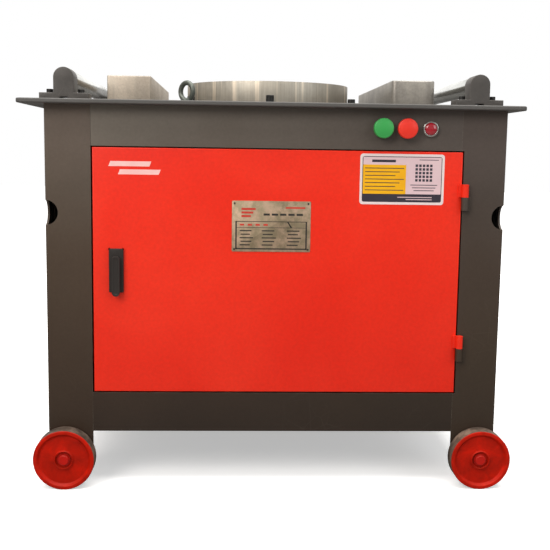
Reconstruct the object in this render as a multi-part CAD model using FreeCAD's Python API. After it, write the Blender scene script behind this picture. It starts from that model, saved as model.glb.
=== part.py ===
import FreeCAD, Part
import math
import os

# Rebar bender on a wheeled cabinet. Millimetres, +Z up, X to the right, the door faces -Y.
# The origin is on the floor, below the middle of the table.

# ---- driving dimensions -------------------------------------------------------------
table_width = 1000.0
table_depth = 800.0
table_thick = 9.0
table_top = 779.0
cabinet_shift = 9.0          # the cabinet sits a little to the right under the table
cabinet_half = 459.5
cabinet_half_depth = 370.0
sheet = 4.0
post_width = 90.0
post_foot = 72.0
notch_radius = 25.0
notch_height = 557.0
beam_bottom = 111.0

disc_radius = 187.5
disc_gap = 5.0
disc_height = 55.0
centre_pin_radius = 25.0
ring_pin_radius = 18.0
ring_pin_circle = 132.0
ring_pin_count = 8

block_inner = 250.0
block_width = 90.0
block_length = 540.0
block_pin_radius = 17.5
block_pin_pitch = 72.0
block_pin_count = 7

roller_x = 414.0
roller_height = 43.0
roller_radius = 18.5
pillow_front = 355.0
pillow_depth = 48.0

wheel_radius = 61.0
wheel_width = 36.0
wheel_offset = 424.0
wheel_face = 410.0
axle_radius = 10.0

door_left = -357.5
door_right = 381.0
door_bottom = 194.0
door_top = 687.0
door_gap = 2.5
door_fold = 20.0
door_sheet = 2.0
hinge_x = 386.5
hinge_y = -377.2
hinge_radius = 7.0
hinge_half = 26.0
hinge_heights = (597.0, 288.0)   # height where the two halves of each hinge meet

lock_x = -311.0
lock_pivot = 468.0
lock_width = 29.0
lock_bottom = 398.5
lock_top = 486.5
lock_plate = 5.5
lever_width = 18.0
lever_bottom = 391.5

button_row = 732.0
button_x = 217.0
button_pitch = 48.0
button_travel = 5.0

gear_teeth = 68
pinion_teeth = 17
slow_module = 4.5
fast_module = 3.5
belt_drive_radius = 40.0
belt_driven_radius = 110.0

# ---- places worked out from them ----------------------------------------------------
table_under = table_top - table_thick
cab_left = cabinet_shift - cabinet_half
cab_right = cabinet_shift + cabinet_half
cab_front = -cabinet_half_depth
cab_rear = cabinet_half_depth
opening_right = door_right + door_gap
opening_bottom = door_bottom - door_gap
opening_top = door_top + door_gap
post_inner_left = cab_left + post_width
post_inner_right = cab_right - post_width
roller_axis = table_top + roller_height

slow_centres = slow_module * (gear_teeth + pinion_teeth) / 2
fast_centres = fast_module * (gear_teeth + pinion_teeth) / 2
slow_angle = 130.0
fast_angle = 235.0
mid_x = slow_centres * math.cos(math.radians(slow_angle))
mid_y = slow_centres * math.sin(math.radians(slow_angle))
input_x = mid_x + fast_centres * math.cos(math.radians(fast_angle))
input_y = mid_y + fast_centres * math.sin(math.radians(fast_angle))
motor_x = 250.0
motor_y = -190.0

box_left = -274.0
box_right = 184.0
box_front = -184.0
box_rear = 298.0
box_wall = 12.0
box_floor = 610.0
box_floor_thick = 15.0
box_rim = 754.0
box_flange = 26.0
belt_low = 545.0
belt_high = 590.0

parts = {}


def vec(x, y, z):
    return FreeCAD.Vector(x, y, z)


def block(x0, x1, y0, y1, z0, z1):
    return Part.makeBox(x1 - x0, y1 - y0, z1 - z0, vec(x0, y0, z0))


def rod(x, y, z, radius, height):
    return Part.makeCylinder(radius, height, vec(x, y, z), vec(0, 0, 1))


def rod_y(x, y, z, radius, length):
    return Part.makeCylinder(radius, length, vec(x, y, z), vec(0, 1, 0))


def ring(x, y, z, outer, inner, height):
    return rod(x, y, z, outer, height).cut(rod(x, y, z - 1, inner, height + 2))


def ring_y(x, y, z, outer, inner, length):
    return rod_y(x, y, z, outer, length).cut(rod_y(x, y - 1, z, inner, length + 2))


def join(shapes):
    return shapes[0].multiFuse(shapes[1:]).removeSplitter()


def group(shapes):
    return Part.makeCompound(shapes)


def prism(points, height):
    corners = [vec(*p) for p in points]
    face = Part.Face(Part.makePolygon(corners + [corners[0]]))
    return face.extrude(height)


def hexagon(x, y, z, across_flats, height):
    corner = across_flats / math.sqrt(3)
    turns = [math.radians(60 * i) for i in range(6)]
    points = [(x + corner * math.cos(t), y + corner * math.sin(t), z) for t in turns]
    return prism(points, vec(0, 0, height))


def upright_edges(shape):
    found = []
    for edge in shape.Edges:
        low, high = edge.BoundBox.ZMin, edge.BoundBox.ZMax
        if high - low > 1 and edge.BoundBox.XLength < 0.01 and edge.BoundBox.YLength < 0.01:
            found.append(edge)
    return found


def edges_at_height(shape, height):
    return [e for e in shape.Edges
            if abs(e.BoundBox.ZMin - height) < 0.01 and abs(e.BoundBox.ZMax - height) < 0.01]


def edges_facing_front(shape):
    front = shape.BoundBox.YMin
    return [edge for edge in shape.Edges if edge.BoundBox.YMax < front + 0.01]


def mirror_y(shape):
    return shape.mirror(vec(0, 0, 0), vec(0, 1, 0))


# ---- table --------------------------------------------------------------------------
pillow_bolt_x = 31.0
pillow_bolt_radius = 4.0
cap_screw_radius = 5.0
cap_head_radius = 8.0
cap_head_height = 10.0
block_screw_x = 28.0
block_screw_y = 252.0
stop_screws = [(-7.0, -340.0), (169.0, -240.0), (-169.0, -240.0)]
stop_spacer = 6.0
eye_x = -175.0
eye_y = -300.0
eye_turn = 43.0               # the eye faces this many degrees round from the front
eye_mid_radius = 17.5
eye_bar_radius = 5.0
eye_foot_radius = 12.5
eye_foot_height = 8.0
hub_hole_radius = 62.0
hole_play = 0.3

pillow_mid_y = pillow_front - pillow_depth / 2
pillow_places = [(side * roller_x, end * pillow_mid_y) for side in (-1, 1) for end in (-1, 1)]
pillow_bolts = [(x + s * pillow_bolt_x, y) for x, y in pillow_places for s in (-1, 1)]
block_mid_x = block_inner + block_width / 2
block_screws = [(side * block_mid_x + sx * block_screw_x, sy * block_screw_y)
                for side in (-1, 1) for sx in (-1, 1) for sy in (-1, 1)]


def make_table():
    half_w, half_d = table_width / 2, table_depth / 2
    plate = block(-half_w, half_w, -half_d, half_d, table_under, table_top)
    plate = plate.makeFillet(14.0, upright_edges(plate))
    rim = edges_at_height(plate, table_top) + edges_at_height(plate, table_under)
    plate = plate.makeFillet(2.5, rim)
    holes = [rod(0, 0, table_under - 1, hub_hole_radius, table_thick + 2)]
    for x, y in pillow_bolts:
        holes.append(rod(x, y, table_under - 1, pillow_bolt_radius + hole_play, table_thick + 2))
    for x, y in block_screws + stop_screws:
        holes.append(rod(x, y, table_under - 1, cap_screw_radius + hole_play, table_thick + 2))
    holes.append(rod(eye_x, eye_y, table_under - 1, eye_bar_radius + hole_play, table_thick + 2))
    parts["table_plate"] = plate.cut(group(holes))


def make_seat_block(side, name, corner):
    x0 = side * block_mid_x - block_width / 2
    body = block(x0, x0 + block_width, -block_length / 2, block_length / 2,
                 table_top, table_top + disc_height)
    body = body.makeFillet(corner, upright_edges(body))
    body = body.makeFillet(2.5, edges_at_height(body, table_top + disc_height))
    cuts = []
    for place in range(block_pin_count):
        y = (place - (block_pin_count - 1) / 2) * block_pin_pitch
        cuts.append(rod(side * block_mid_x, y, table_top - 1, block_pin_radius, disc_height + 2))
    for sx in (-1, 1):
        for sy in (-1, 1):
            x, y = side * block_mid_x + sx * block_screw_x, sy * block_screw_y
            cuts.append(rod(x, y, table_top - 1, cap_screw_radius + hole_play, disc_height + 2))
            cuts.append(rod(x, y, table_top + disc_height - 14, cap_head_radius + 1, 15))
    parts[name] = body.cut(group(cuts))


def cap_screw(x, y, seat, length):
    head = rod(x, y, seat, cap_head_radius, cap_head_height)
    head = head.makeFillet(1.0, edges_at_height(head, seat + cap_head_height))
    socket = hexagon(x, y, seat + cap_head_height / 2, 8.0, cap_head_height)
    shank = rod(x, y, seat - length, cap_screw_radius, length)
    return join([head, shank]).cut(socket)


def make_cap_screws():
    screws = []
    for x, y in block_screws:
        seat = table_top + disc_height - 14.0
        screws.append(cap_screw(x, y, seat, seat - table_under))
    for x, y in stop_screws:
        screw = cap_screw(x, y, table_top + stop_spacer, stop_spacer + table_thick)
        screws.append(join([screw, rod(x, y, table_top, cap_head_radius, stop_spacer)]))
    parts["table_cap_screws"] = group(screws)


def make_lifting_eye():
    facing = vec(math.sin(math.radians(eye_turn)), math.cos(math.radians(eye_turn)), 0)
    middle = vec(eye_x, eye_y, table_top + eye_mid_radius + eye_bar_radius)
    eye = Part.makeTorus(eye_mid_radius, eye_bar_radius, middle, facing)
    base = rod(eye_x, eye_y, table_top, eye_foot_radius, eye_foot_height)
    base = base.makeFillet(2.0, edges_at_height(base, table_top + eye_foot_height))
    shank = rod(eye_x, eye_y, table_under, eye_bar_radius, table_thick)
    parts["lifting_eye"] = join([eye, base, shank])


# ---- turntable ----------------------------------------------------------------------
shaft_play = 0.03
main_shaft_radius = 30.0
main_shaft_top = 790.0
hub_radius = 55.0
hub_bottom = 772.0


def make_turntable():
    top = table_top + disc_height
    low = table_top + disc_gap
    disc = rod(0, 0, low, disc_radius, top - low)
    disc = disc.makeChamfer(1.5, edges_at_height(disc, top))
    disc = disc.fuse(rod(0, 0, hub_bottom, hub_radius, low - hub_bottom))
    cuts = [rod(0, 0, hub_bottom - 1, main_shaft_radius + shaft_play, main_shaft_top - hub_bottom + 1),
            rod(0, 0, main_shaft_top + 2, centre_pin_radius, top)]
    for place in range(ring_pin_count):
        turn = math.radians(360.0 * place / ring_pin_count)
        cuts.append(rod(ring_pin_circle * math.cos(turn), ring_pin_circle * math.sin(turn),
                        low - 1, ring_pin_radius, top))
    parts["turntable_disc"] = disc.cut(group(cuts)).removeSplitter()


# ---- side rollers -------------------------------------------------------------------
roller_shaft_radius = 8.0
roller_play = 0.05


def make_pillow_block(x, y, name):
    outward = -1 if y < 0 else 1
    foot_half, foot_height, arch_half = 48.0, 13.0, 20.0
    y0 = y - pillow_depth / 2
    foot = block(x - foot_half, x + foot_half, y0, y0 + pillow_depth, table_top, table_top + foot_height)
    body = block(x - arch_half, x + arch_half, y0, y0 + pillow_depth, table_top, roller_axis)
    arch = rod_y(x, y0, roller_axis, arch_half, pillow_depth)
    shape = join([foot, body, arch])
    relief = block(x - 8.0, x + 8.0, y0 - 1, y0 + pillow_depth + 1, table_top - 1, table_top + 5.0)
    inner = y0 + pillow_depth if outward < 0 else y0
    bore = rod_y(x, inner - 34.0, roller_axis, roller_shaft_radius + roller_play, 35.0)
    if outward > 0:
        bore = rod_y(x, inner - 1.0, roller_axis, roller_shaft_radius + roller_play, 35.0)
    holes = [rod(x + s * pillow_bolt_x, y, table_top - 1, pillow_bolt_radius + hole_play, foot_height + 2)
             for s in (-1, 1)]
    parts[name] = shape.cut(group([relief, bore] + holes))


def make_pillow_bolts():
    seat = table_top + 13.0
    bolts = []
    for x, y in pillow_bolts:
        head = rod(x, y, seat, 6.5, 8.0)
        head = head.makeFillet(0.8, edges_at_height(head, seat + 8.0))
        shank = rod(x, y, table_under, pillow_bolt_radius, seat - table_under)
        bolts.append(join([head, shank]).cut(hexagon(x, y, seat + 4.0, 6.0, 5.0)))
    parts["pillow_block_bolts"] = group(bolts)


def make_rollers():
    half = pillow_front - pillow_depth - 3.0
    plug_length = 22.0
    shafts = []
    for side, name in ((-1, "roller_left"), (1, "roller_right")):
        x = side * roller_x
        tube = ring_y(x, -half, roller_axis, roller_radius, 15.0, 2 * half)
        tube = tube.makeChamfer(0.8, [e for e in tube.Edges if e.Length > 110 and e.BoundBox.YLength < 0.01])
        plugs = [ring_y(x, -half, roller_axis, 15.0, roller_shaft_radius + roller_play, plug_length),
                 ring_y(x, half - plug_length, roller_axis, 15.0, roller_shaft_radius + roller_play, plug_length)]
        parts[name] = join([tube] + plugs)
        reach = pillow_front - pillow_depth + 30.0
        shafts.append(rod_y(x, -reach, roller_axis, roller_shaft_radius, 2 * reach))
    parts["roller_shafts"] = group(shafts)


# ---- cabinet frame ------------------------------------------------------------------
def folded_post(side, end):
    outer_x = cab_left if side < 0 else cab_right
    inner_x = post_inner_left if side < 0 else post_inner_right
    outer_y = end * cabinet_half_depth
    x0, x1 = min(outer_x, inner_x), max(outer_x, inner_x)
    face_y = sorted((outer_y, outer_y - end * sheet))
    side_x = sorted((outer_x, outer_x - side * sheet))
    side_y = sorted((outer_y, outer_y - end * post_width))
    face = block(x0, x1, face_y[0], face_y[1], post_foot, table_under)
    flank = block(side_x[0], side_x[1], side_y[0], side_y[1], post_foot, table_under)
    shape = join([face, flank])
    corner = [e for e in upright_edges(shape)
              if abs(e.BoundBox.XMin - outer_x) < 0.01 and abs(e.BoundBox.YMin - outer_y) < 0.01]
    shape = shape.makeFillet(3.0, corner)
    through_face = rod_y(outer_x, face_y[0] - 0.5, notch_height, notch_radius, sheet + 1)
    through_flank = Part.makeCylinder(notch_radius, sheet + 1, vec(side_x[0] - 0.5, outer_y, notch_height),
                                      vec(1, 0, 0))
    return shape.cut(group([through_face, through_flank]))


def make_posts():
    for side, side_name in ((-1, "left"), (1, "right")):
        for end, end_name in ((-1, "front"), (1, "rear")):
            post = folded_post(side, end)
            if side > 0 and end < 0:
                relief = block(post_inner_right - 1, opening_right, cab_front - 1, cab_front + sheet + 1,
                               opening_bottom, opening_top)
                post = post.cut(relief)
            parts["post_%s_%s" % (end_name, side_name)] = post


seam_chamfer = 1.0           # leaves a fine line where the top beam meets the left post


def make_front_beams():
    lip = 22.0
    y0, y1 = cab_front, cab_front + sheet
    x0, x1 = post_inner_left, post_inner_right
    top = join([block(x0, x1, y0, y1, opening_top, table_under),
                block(x0, x1, y1, y1 + lip, opening_top, opening_top + sheet)])
    top = top.makeChamfer(seam_chamfer, [e for e in upright_edges(top)
                                         if e.BoundBox.XMax < x0 + 0.1 and e.BoundBox.YMax < y0 + 0.1])
    holes = [rod_y(button_x + i * button_pitch, y0 - 1, button_row, 11.2, sheet + 2) for i in range(3)]
    parts["top_beam_front"] = top.cut(group(holes))
    parts["bottom_beam_front"] = join([
        block(x0, x1, y0, y1, beam_bottom, opening_bottom),
        block(x0, x1, y1, y1 + lip, opening_bottom - sheet, opening_bottom),
        block(x0, x1, y1, y1 + lip, beam_bottom, beam_bottom + sheet)])


def make_side_panels():
    reach = cabinet_half_depth - post_width + 20.0
    panel_thick = 3.0
    rail = 30.0
    for side, name in ((-1, "side_panel_left"), (1, "side_panel_right")):
        outer = (cab_left if side < 0 else cab_right) - side * sheet
        inner = outer - side * panel_thick
        x0, x1 = min(outer, inner), max(outer, inner)
        web = block(x0, x1, -reach, reach, beam_bottom, table_under)
        turned = sorted((inner, inner - side * rail))
        low_rail = block(turned[0], turned[1], -reach, reach, beam_bottom, beam_bottom + sheet)
        top_rail = block(turned[0], turned[1], -reach, reach, table_under - sheet, table_under)
        slots = []
        for row in range(6):
            for column in (-1, 0, 1):
                z = 300.0 + row * 26.0
                slots.append(block(x0 - 1, x1 + 1, column * 130.0 - 50.0, column * 130.0 + 50.0, z, z + 7.0))
        parts[name] = join([web, low_rail, top_rail]).cut(group(slots))


rear_screws = [(x, z) for x in (-330.0, 0.0, 350.0) for z in (150.0, 730.0)]


def make_rear_panel():
    y1 = cab_rear - sheet
    y0 = y1 - 3.0
    x0, x1 = post_inner_left - 22.0, post_inner_right + 22.0
    panel = block(x0, x1, y0, y1, beam_bottom, table_under)
    cuts = [rod_y(x, y0 - 1, z, 3.2, 5.0) for x, z in rear_screws]
    cuts.append(rod_y(300.0, y0 - 1, 230.0, 13.0, 5.0))
    for row in range(7):
        for column in (-1, 1):
            z = 400.0 + row * 26.0
            x = cabinet_shift + column * 150.0
            cuts.append(block(x - 60.0, x + 60.0, y0 - 1, y1 + 1, z, z + 7.0))
    parts["rear_panel"] = panel.cut(group(cuts))
    screws = []
    for x, z in rear_screws:
        screws.append(join([rod_y(x, y1, z, 6.0, 3.5), rod_y(x, y0 - 6.0, z, 3.0, y1 - y0 + 6.0)]))
    parts["rear_panel_screws"] = group(screws)


def make_base_deck():
    deck_low = beam_bottom + sheet
    parts["base_deck"] = block(cab_left + sheet + 3.2, cab_right - sheet - 3.2,
                               cab_front + sheet + 0.2, cab_rear - sheet - 3.2, deck_low, deck_low + 5.0)


# ---- door, hinges and lock ----------------------------------------------------------
lock_axis_radius = 7.0
lock_play = 0.05


def make_door():
    y0 = cab_front
    skin = block(door_left, door_right, y0, y0 + door_sheet, door_bottom, door_top)
    outer = block(door_left, door_right, y0, y0 + door_fold, door_bottom, door_top)
    inner = block(door_left + door_sheet, door_right - door_sheet, y0 + door_sheet, y0 + door_fold + 1,
                  door_bottom + door_sheet, door_top - door_sheet)
    pan = join([skin, outer.cut(inner)])
    rim = [e for e in pan.Edges if abs(e.BoundBox.YMin - y0) < 0.01 and abs(e.BoundBox.YMax - y0) < 0.01]
    pan = pan.makeFillet(1.5, rim)
    hole = rod_y(lock_x, y0 - 1, lock_pivot, lock_axis_radius + lock_play, door_sheet + 2)
    parts["door_panel"] = pan.cut(hole)


def make_hinges():
    pin_radius, pin_reach, bore_play = 4.0, 20.0, 0.05
    leaf = 3.2
    frame_halves, door_halves = [], []
    for meet in hinge_heights:
        barrel = rod(hinge_x, hinge_y, meet - hinge_half, hinge_radius, hinge_half)
        tab = block(hinge_x, hinge_x + 12.0, cab_front - leaf, cab_front, meet - hinge_half, meet)
        pin = rod(hinge_x, hinge_y, meet, pin_radius, pin_reach)
        frame_halves.append(join([barrel, tab, pin]))
        lift = meet + 0.3
        barrel = rod(hinge_x, hinge_y, lift, hinge_radius, hinge_half)
        tab = block(hinge_x - 12.5, hinge_x - 3.0, cab_front - leaf, cab_front, lift, lift + hinge_half)
        bore = rod(hinge_x, hinge_y, lift - 1, pin_radius + bore_play, pin_reach + 2.0)
        door_halves.append(join([barrel, tab]).cut(bore))
    parts["hinge_frame_halves"] = group(frame_halves)
    parts["hinge_door_halves"] = group(door_halves)


def make_lock():
    front = cab_front - lock_plate
    half = lock_width / 2
    base = block(lock_x - half, lock_x + half, front, cab_front, lock_bottom, lock_top)
    base = base.makeFillet(1.5, edges_facing_front(base))
    parts["lock_plate"] = base.cut(rod_y(lock_x, front - 1, lock_pivot, lock_axis_radius + lock_play, 10.0))

    ear_half, ear_radius, pivot_y = 4.6, 3.7, front - 5.0
    pin_radius = 1.5
    cam_front, cam_thick, cam_reach = cab_front + door_fold + 0.6, 4.0, 58.0
    spindle = rod_y(lock_x, front - 0.2, lock_pivot, lock_axis_radius, cam_front - front + 0.2)
    ear_round = Part.makeCylinder(ear_radius, 2 * ear_half, vec(lock_x - ear_half, pivot_y, lock_pivot),
                                  vec(1, 0, 0))
    ear_neck = block(lock_x - ear_half, lock_x + ear_half, pivot_y, front - 0.1,
                     lock_pivot - ear_radius, lock_pivot + ear_radius)
    cam = block(lock_x - 8.0, lock_x + 8.0, cam_front, cam_front + cam_thick,
                lock_pivot - cam_reach, lock_pivot + 9.0)
    pin_hole = Part.makeCylinder(pin_radius + lock_play, 20.0, vec(lock_x - 10.0, pivot_y, lock_pivot),
                                 vec(1, 0, 0))
    parts["lock_spindle"] = join([spindle, ear_round, ear_neck, cam]).cut(pin_hole)

    lever_half = lever_width / 2
    back, face = front - 2.5, front - 10.5
    grip = block(lock_x - lever_half, lock_x + lever_half, face, back,
                 lever_bottom + lever_half, lock_pivot + 3.5)
    tip = rod_y(lock_x, face, lever_bottom + lever_half, lever_half, back - face)
    lever = join([grip, tip])
    lever = lever.makeFillet(1.6, edges_facing_front(lever))
    pocket = block(lock_x - ear_half - 0.4, lock_x + ear_half + 0.4, face + 1.5, back + 1,
                   lock_pivot - 8.0, lock_pivot + 5.0)
    pin = Part.makeCylinder(pin_radius, lever_width - 2.0, vec(lock_x - lever_half + 1.0, pivot_y, lock_pivot),
                            vec(1, 0, 0))
    parts["lock_lever"] = join([lever.cut(pocket), pin])


def make_plates():
    y1 = cab_front
    plate = block(-81.0, 77.0, y1 - 0.8, y1, 483.0, 585.0)
    rivets = [rod_y(x, y1 - 1.8, z, 2.2, 1.2) for x in (-76.0, 72.0) for z in (488.0, 580.0)]
    parts["nameplate"] = join([plate] + rivets)
    label = block(174.0, 344.0, y1 - 0.4, y1, 581.0, 682.0)
    short = [e for e in label.Edges if e.BoundBox.YLength > 0.3]
    parts["warning_label"] = label.makeFillet(6.0, short)


# ---- push buttons and pilot lamp ----------------------------------------------------
def make_controls():
    face = cab_front
    stem_radius, head_radius, bezel_thick = 7.0, 20.0, 5.0
    blocks, bezels = [], []
    for place, name in enumerate(("green_button", "red_button")):
        x = button_x + place * button_pitch
        back = face - bezel_thick - button_travel - 1.0
        head = rod_y(x, back - 9.0, button_row, head_radius, 9.0)
        front_edge = [e for e in head.Edges if abs(e.BoundBox.YMax - (back - 9.0)) < 0.01 and e.Length > 10]
        head = head.makeFillet(3.5, front_edge)
        stem = rod_y(x, back, button_row, stem_radius, face + 18.0 - back)
        parts[name] = join([head, stem])
        bezels.append(ring_y(x, face - bezel_thick, button_row, 17.0, stem_radius + 0.5, bezel_thick))
        body = block(x - 15.0, x + 15.0, face + sheet, face + 44.0, button_row - 20.0, button_row + 20.0)
        blocks.append(body.cut(rod_y(x, face, button_row, stem_radius + 0.5, 25.0)))
    lamp = button_x + 2 * button_pitch
    bezels.append(ring_y(lamp, face - 6.0, button_row, 15.5, 12.0, 6.0))
    lens = rod_y(lamp, face - 6.5, button_row, 11.9, 6.5)
    dome_radius = 20.0
    dome_depth = 4.0
    dome = Part.makeSphere(dome_radius, vec(lamp, face - 6.5 - dome_depth + dome_radius, button_row))
    dome = dome.common(rod_y(lamp, face - 20.0, button_row, 11.9, 13.5))
    parts["lamp_lens"] = join([lens, dome])
    lamp_body = rod_y(lamp, face + sheet, button_row, 14.0, 36.0)
    blocks.append(join([lamp_body, rod_y(lamp, face, button_row, 11.0, sheet)]))
    parts["control_bezels"] = group(bezels)
    parts["contact_blocks"] = group(blocks)


# ---- gears --------------------------------------------------------------------------
pressure_angle = math.radians(20.0)
tooth_play = 0.3


def tooth_half_angle(teeth, module, radius):
    pitch_radius = module * teeth / 2
    base_radius = pitch_radius * math.cos(pressure_angle)
    at_pitch = (math.pi * module / 2 - tooth_play) / (2 * pitch_radius)
    angle = math.acos(min(1.0, base_radius / radius))
    roll = math.tan(pressure_angle) - pressure_angle
    return at_pitch + roll - (math.tan(angle) - angle)


def gear_outline(teeth, module, phase):
    pitch_radius = module * teeth / 2
    tip = pitch_radius + module
    root = pitch_radius - 1.25 * module
    start = max(root, pitch_radius * math.cos(pressure_angle))
    edges = []

    def at(radius, angle):
        return vec(radius * math.cos(angle), radius * math.sin(angle), 0)

    step = 2 * math.pi / teeth
    low = tooth_half_angle(teeth, module, start)
    middle_radius = (start + tip) / 2
    middle = tooth_half_angle(teeth, module, middle_radius)
    high = tooth_half_angle(teeth, module, tip)
    for tooth in range(teeth):
        centre = phase + tooth * step
        if start > root:
            edges.append(Part.makeLine(at(root, centre - low), at(start, centre - low)))
        edges.append(Part.Arc(at(start, centre - low), at(middle_radius, centre - middle),
                              at(tip, centre - high)).toShape())
        edges.append(Part.Arc(at(tip, centre - high), at(tip, centre), at(tip, centre + high)).toShape())
        edges.append(Part.Arc(at(tip, centre + high), at(middle_radius, centre + middle),
                              at(start, centre + low)).toShape())
        if start > root:
            edges.append(Part.makeLine(at(start, centre + low), at(root, centre + low)))
        edges.append(Part.Arc(at(root, centre + low), at(root, centre + step / 2),
                              at(root, centre + step - low)).toShape())
    return Part.Wire(edges)


def gear(teeth, module, phase, x, y, z, width, bore):
    solid = Part.Face(gear_outline(teeth, module, phase)).extrude(vec(0, 0, width))
    solid = solid.cut(rod(0, 0, -1, bore, width + 2))
    solid.translate(vec(x, y, z))
    return solid


mid_shaft_radius = 20.0
input_shaft_radius = 15.0
main_gear_low, main_gear_high = 690.0, 735.0
mid_gear_low, mid_gear_high = 645.0, 675.0


def wheel_web(x, y, low, high, outer, inner):
    recess = ring(x, y, low - 1, outer, inner, 9.0)
    return recess.fuse(ring(x, y, high - 8.0, outer, inner, 9.0))


def make_gear_train():
    slow = math.radians(slow_angle)
    fast = math.radians(fast_angle)
    gear_pitch = 2 * math.pi / pinion_teeth

    large = gear(gear_teeth, slow_module, slow, 0, 0, main_gear_low, main_gear_high - main_gear_low,
                 main_shaft_radius + shaft_play)
    parts["main_gear"] = large.cut(wheel_web(0, 0, main_gear_low, main_gear_high, 128.0, 55.0))

    pinion = gear(pinion_teeth, slow_module, slow + math.pi + gear_pitch / 2, mid_x, mid_y,
                  main_gear_low - 4.0, main_gear_high - main_gear_low + 8.0, 12.0)
    bearing_low = box_floor
    shaft = rod(mid_x, mid_y, bearing_low, mid_shaft_radius, table_under - 2.0 - bearing_low)
    parts["mid_shaft"] = join([pinion, shaft])

    middle = gear(gear_teeth, fast_module, fast, mid_x, mid_y, mid_gear_low,
                  mid_gear_high - mid_gear_low, mid_shaft_radius + shaft_play)
    parts["mid_gear"] = middle.cut(wheel_web(mid_x, mid_y, mid_gear_low, mid_gear_high, 98.0, 40.0))

    pinion = gear(pinion_teeth, fast_module, fast + math.pi + gear_pitch / 2, input_x, input_y,
                  mid_gear_low - 3.0, mid_gear_high - mid_gear_low + 6.0, 9.0)
    shaft = rod(input_x, input_y, belt_low - 4.0, input_shaft_radius, table_under - 2.0 - belt_low + 4.0)
    parts["input_shaft"] = join([pinion, shaft])

    low = box_floor - 4.0
    parts["main_shaft"] = rod(0, 0, low, main_shaft_radius, main_shaft_top - low)


# ---- gearbox ------------------------------------------------------------------------
# centre, shaft radius and bearing radius of the main, middle and input shafts
shaft_seats = [(0.0, 0.0, main_shaft_radius, 50.0),
               (mid_x, mid_y, mid_shaft_radius, 36.0),
               (input_x, input_y, input_shaft_radius, 28.0)]
box_bolts = [(x, y) for x in (box_left - 14.0, box_right + 14.0)
             for y in (box_front + 20.0, (box_front + box_rear) / 2, box_rear - 20.0)]


def rounded_slab(x0, x1, y0, y1, z0, z1, radius):
    slab = block(x0, x1, y0, y1, z0, z1)
    return slab.makeFillet(radius, upright_edges(slab))


def make_gearbox():
    outer = rounded_slab(box_left, box_right, box_front, box_rear, box_floor, box_rim, 30.0)
    inner = rounded_slab(box_left + box_wall, box_right - box_wall, box_front + box_wall,
                         box_rear - box_wall, box_floor + box_floor_thick, box_rim + 1, 20.0)
    flange = rounded_slab(box_left - box_flange, box_right + box_flange, box_front, box_rear,
                          box_rim - 12.0, box_rim, 20.0)
    seats = [rod(x, y, box_floor - 1, bearing, box_floor_thick + 2) for x, y, shaft, bearing in shaft_seats]
    bolt_holes = [rod(x, y, box_rim - 20.0, 6.3, 60.0) for x, y in box_bolts]
    housing = join([outer, flange]).cut(inner).cut(group(seats + bolt_holes))
    parts["gearbox_housing"] = housing

    cover = rounded_slab(box_left - box_flange, box_right + box_flange, box_front, box_rear,
                         box_rim, table_under, 20.0)
    seats = [rod(x, y, box_rim - 1, bearing, 30.0) for x, y, shaft, bearing in shaft_seats]
    parts["gearbox_cover"] = cover.cut(group(seats + bolt_holes))

    bolts = [join([rod(x, y, box_rim - 12.0, 6.0, table_under - box_rim + 12.0),
                   hexagon(x, y, box_rim - 20.0, 18.0, 8.0)]) for x, y in box_bolts]
    parts["gearbox_bolts"] = group(bolts)

    bearings = []
    for x, y, shaft, bearing in shaft_seats:
        bearings.append(ring(x, y, box_floor, bearing, shaft + 0.05, box_floor_thick))
        bearings.append(ring(x, y, box_rim, bearing, shaft + 0.05, table_under - box_rim - 1.0))
    parts["shaft_bearings"] = group(bearings)


# ---- motor and belt drive -----------------------------------------------------------
motor_low, motor_high = 190.0, 475.0
motor_shaft_radius = 14.0
groove_count = 2
groove_pitch = 19.0
groove_depth = 11.0
groove_top, groove_root = 13.0, 9.0


def v_pulley(x, y, radius, bore):
    centre = (belt_low + belt_high) / 2
    points = [(bore, belt_low), (radius, belt_low)]
    for i in range(groove_count):
        z = centre + (i - (groove_count - 1) / 2) * groove_pitch
        points += [(radius, z - groove_top / 2), (radius - groove_depth, z - groove_root / 2),
                   (radius - groove_depth, z + groove_root / 2), (radius, z + groove_top / 2)]
    points += [(radius, belt_high), (bore, belt_high)]
    corners = [vec(r, 0, z) for r, z in points]
    face = Part.Face(Part.makePolygon(corners + [corners[0]]))
    pulley = face.revolve(vec(0, 0, 0), vec(0, 0, 1), 360)
    if radius > 80:
        pulley = pulley.cut(ring(0, 0, belt_low - 1, radius - 24.0, 34.0, 16.0))
        pulley = pulley.cut(ring(0, 0, belt_high - 15.0, radius - 24.0, 34.0, 16.0))
    pulley.translate(vec(x, y, 0))
    return pulley


def belt_face(radius_a, radius_b, extra):
    """Outline of a belt run round the two pulleys, as a face at z = 0."""
    dx, dy = input_x - motor_x, input_y - motor_y
    span = math.hypot(dx, dy)
    heading = math.atan2(dy, dx)
    ra, rb = radius_a + extra, radius_b + extra
    lean = math.acos((ra - rb) / span)

    def on_a(angle):
        return vec(motor_x + ra * math.cos(angle), motor_y + ra * math.sin(angle), 0)

    def on_b(angle):
        return vec(input_x + rb * math.cos(angle), input_y + rb * math.sin(angle), 0)

    up, down = heading + lean, heading - lean
    edges = [Part.makeLine(on_a(up), on_b(up)),
             Part.Arc(on_b(up), on_b(heading), on_b(down)).toShape(),
             Part.makeLine(on_b(down), on_a(down)),
             Part.Arc(on_a(down), on_a(heading + math.pi), on_a(up)).toShape()]
    return Part.Face(Part.Wire(edges))


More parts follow.
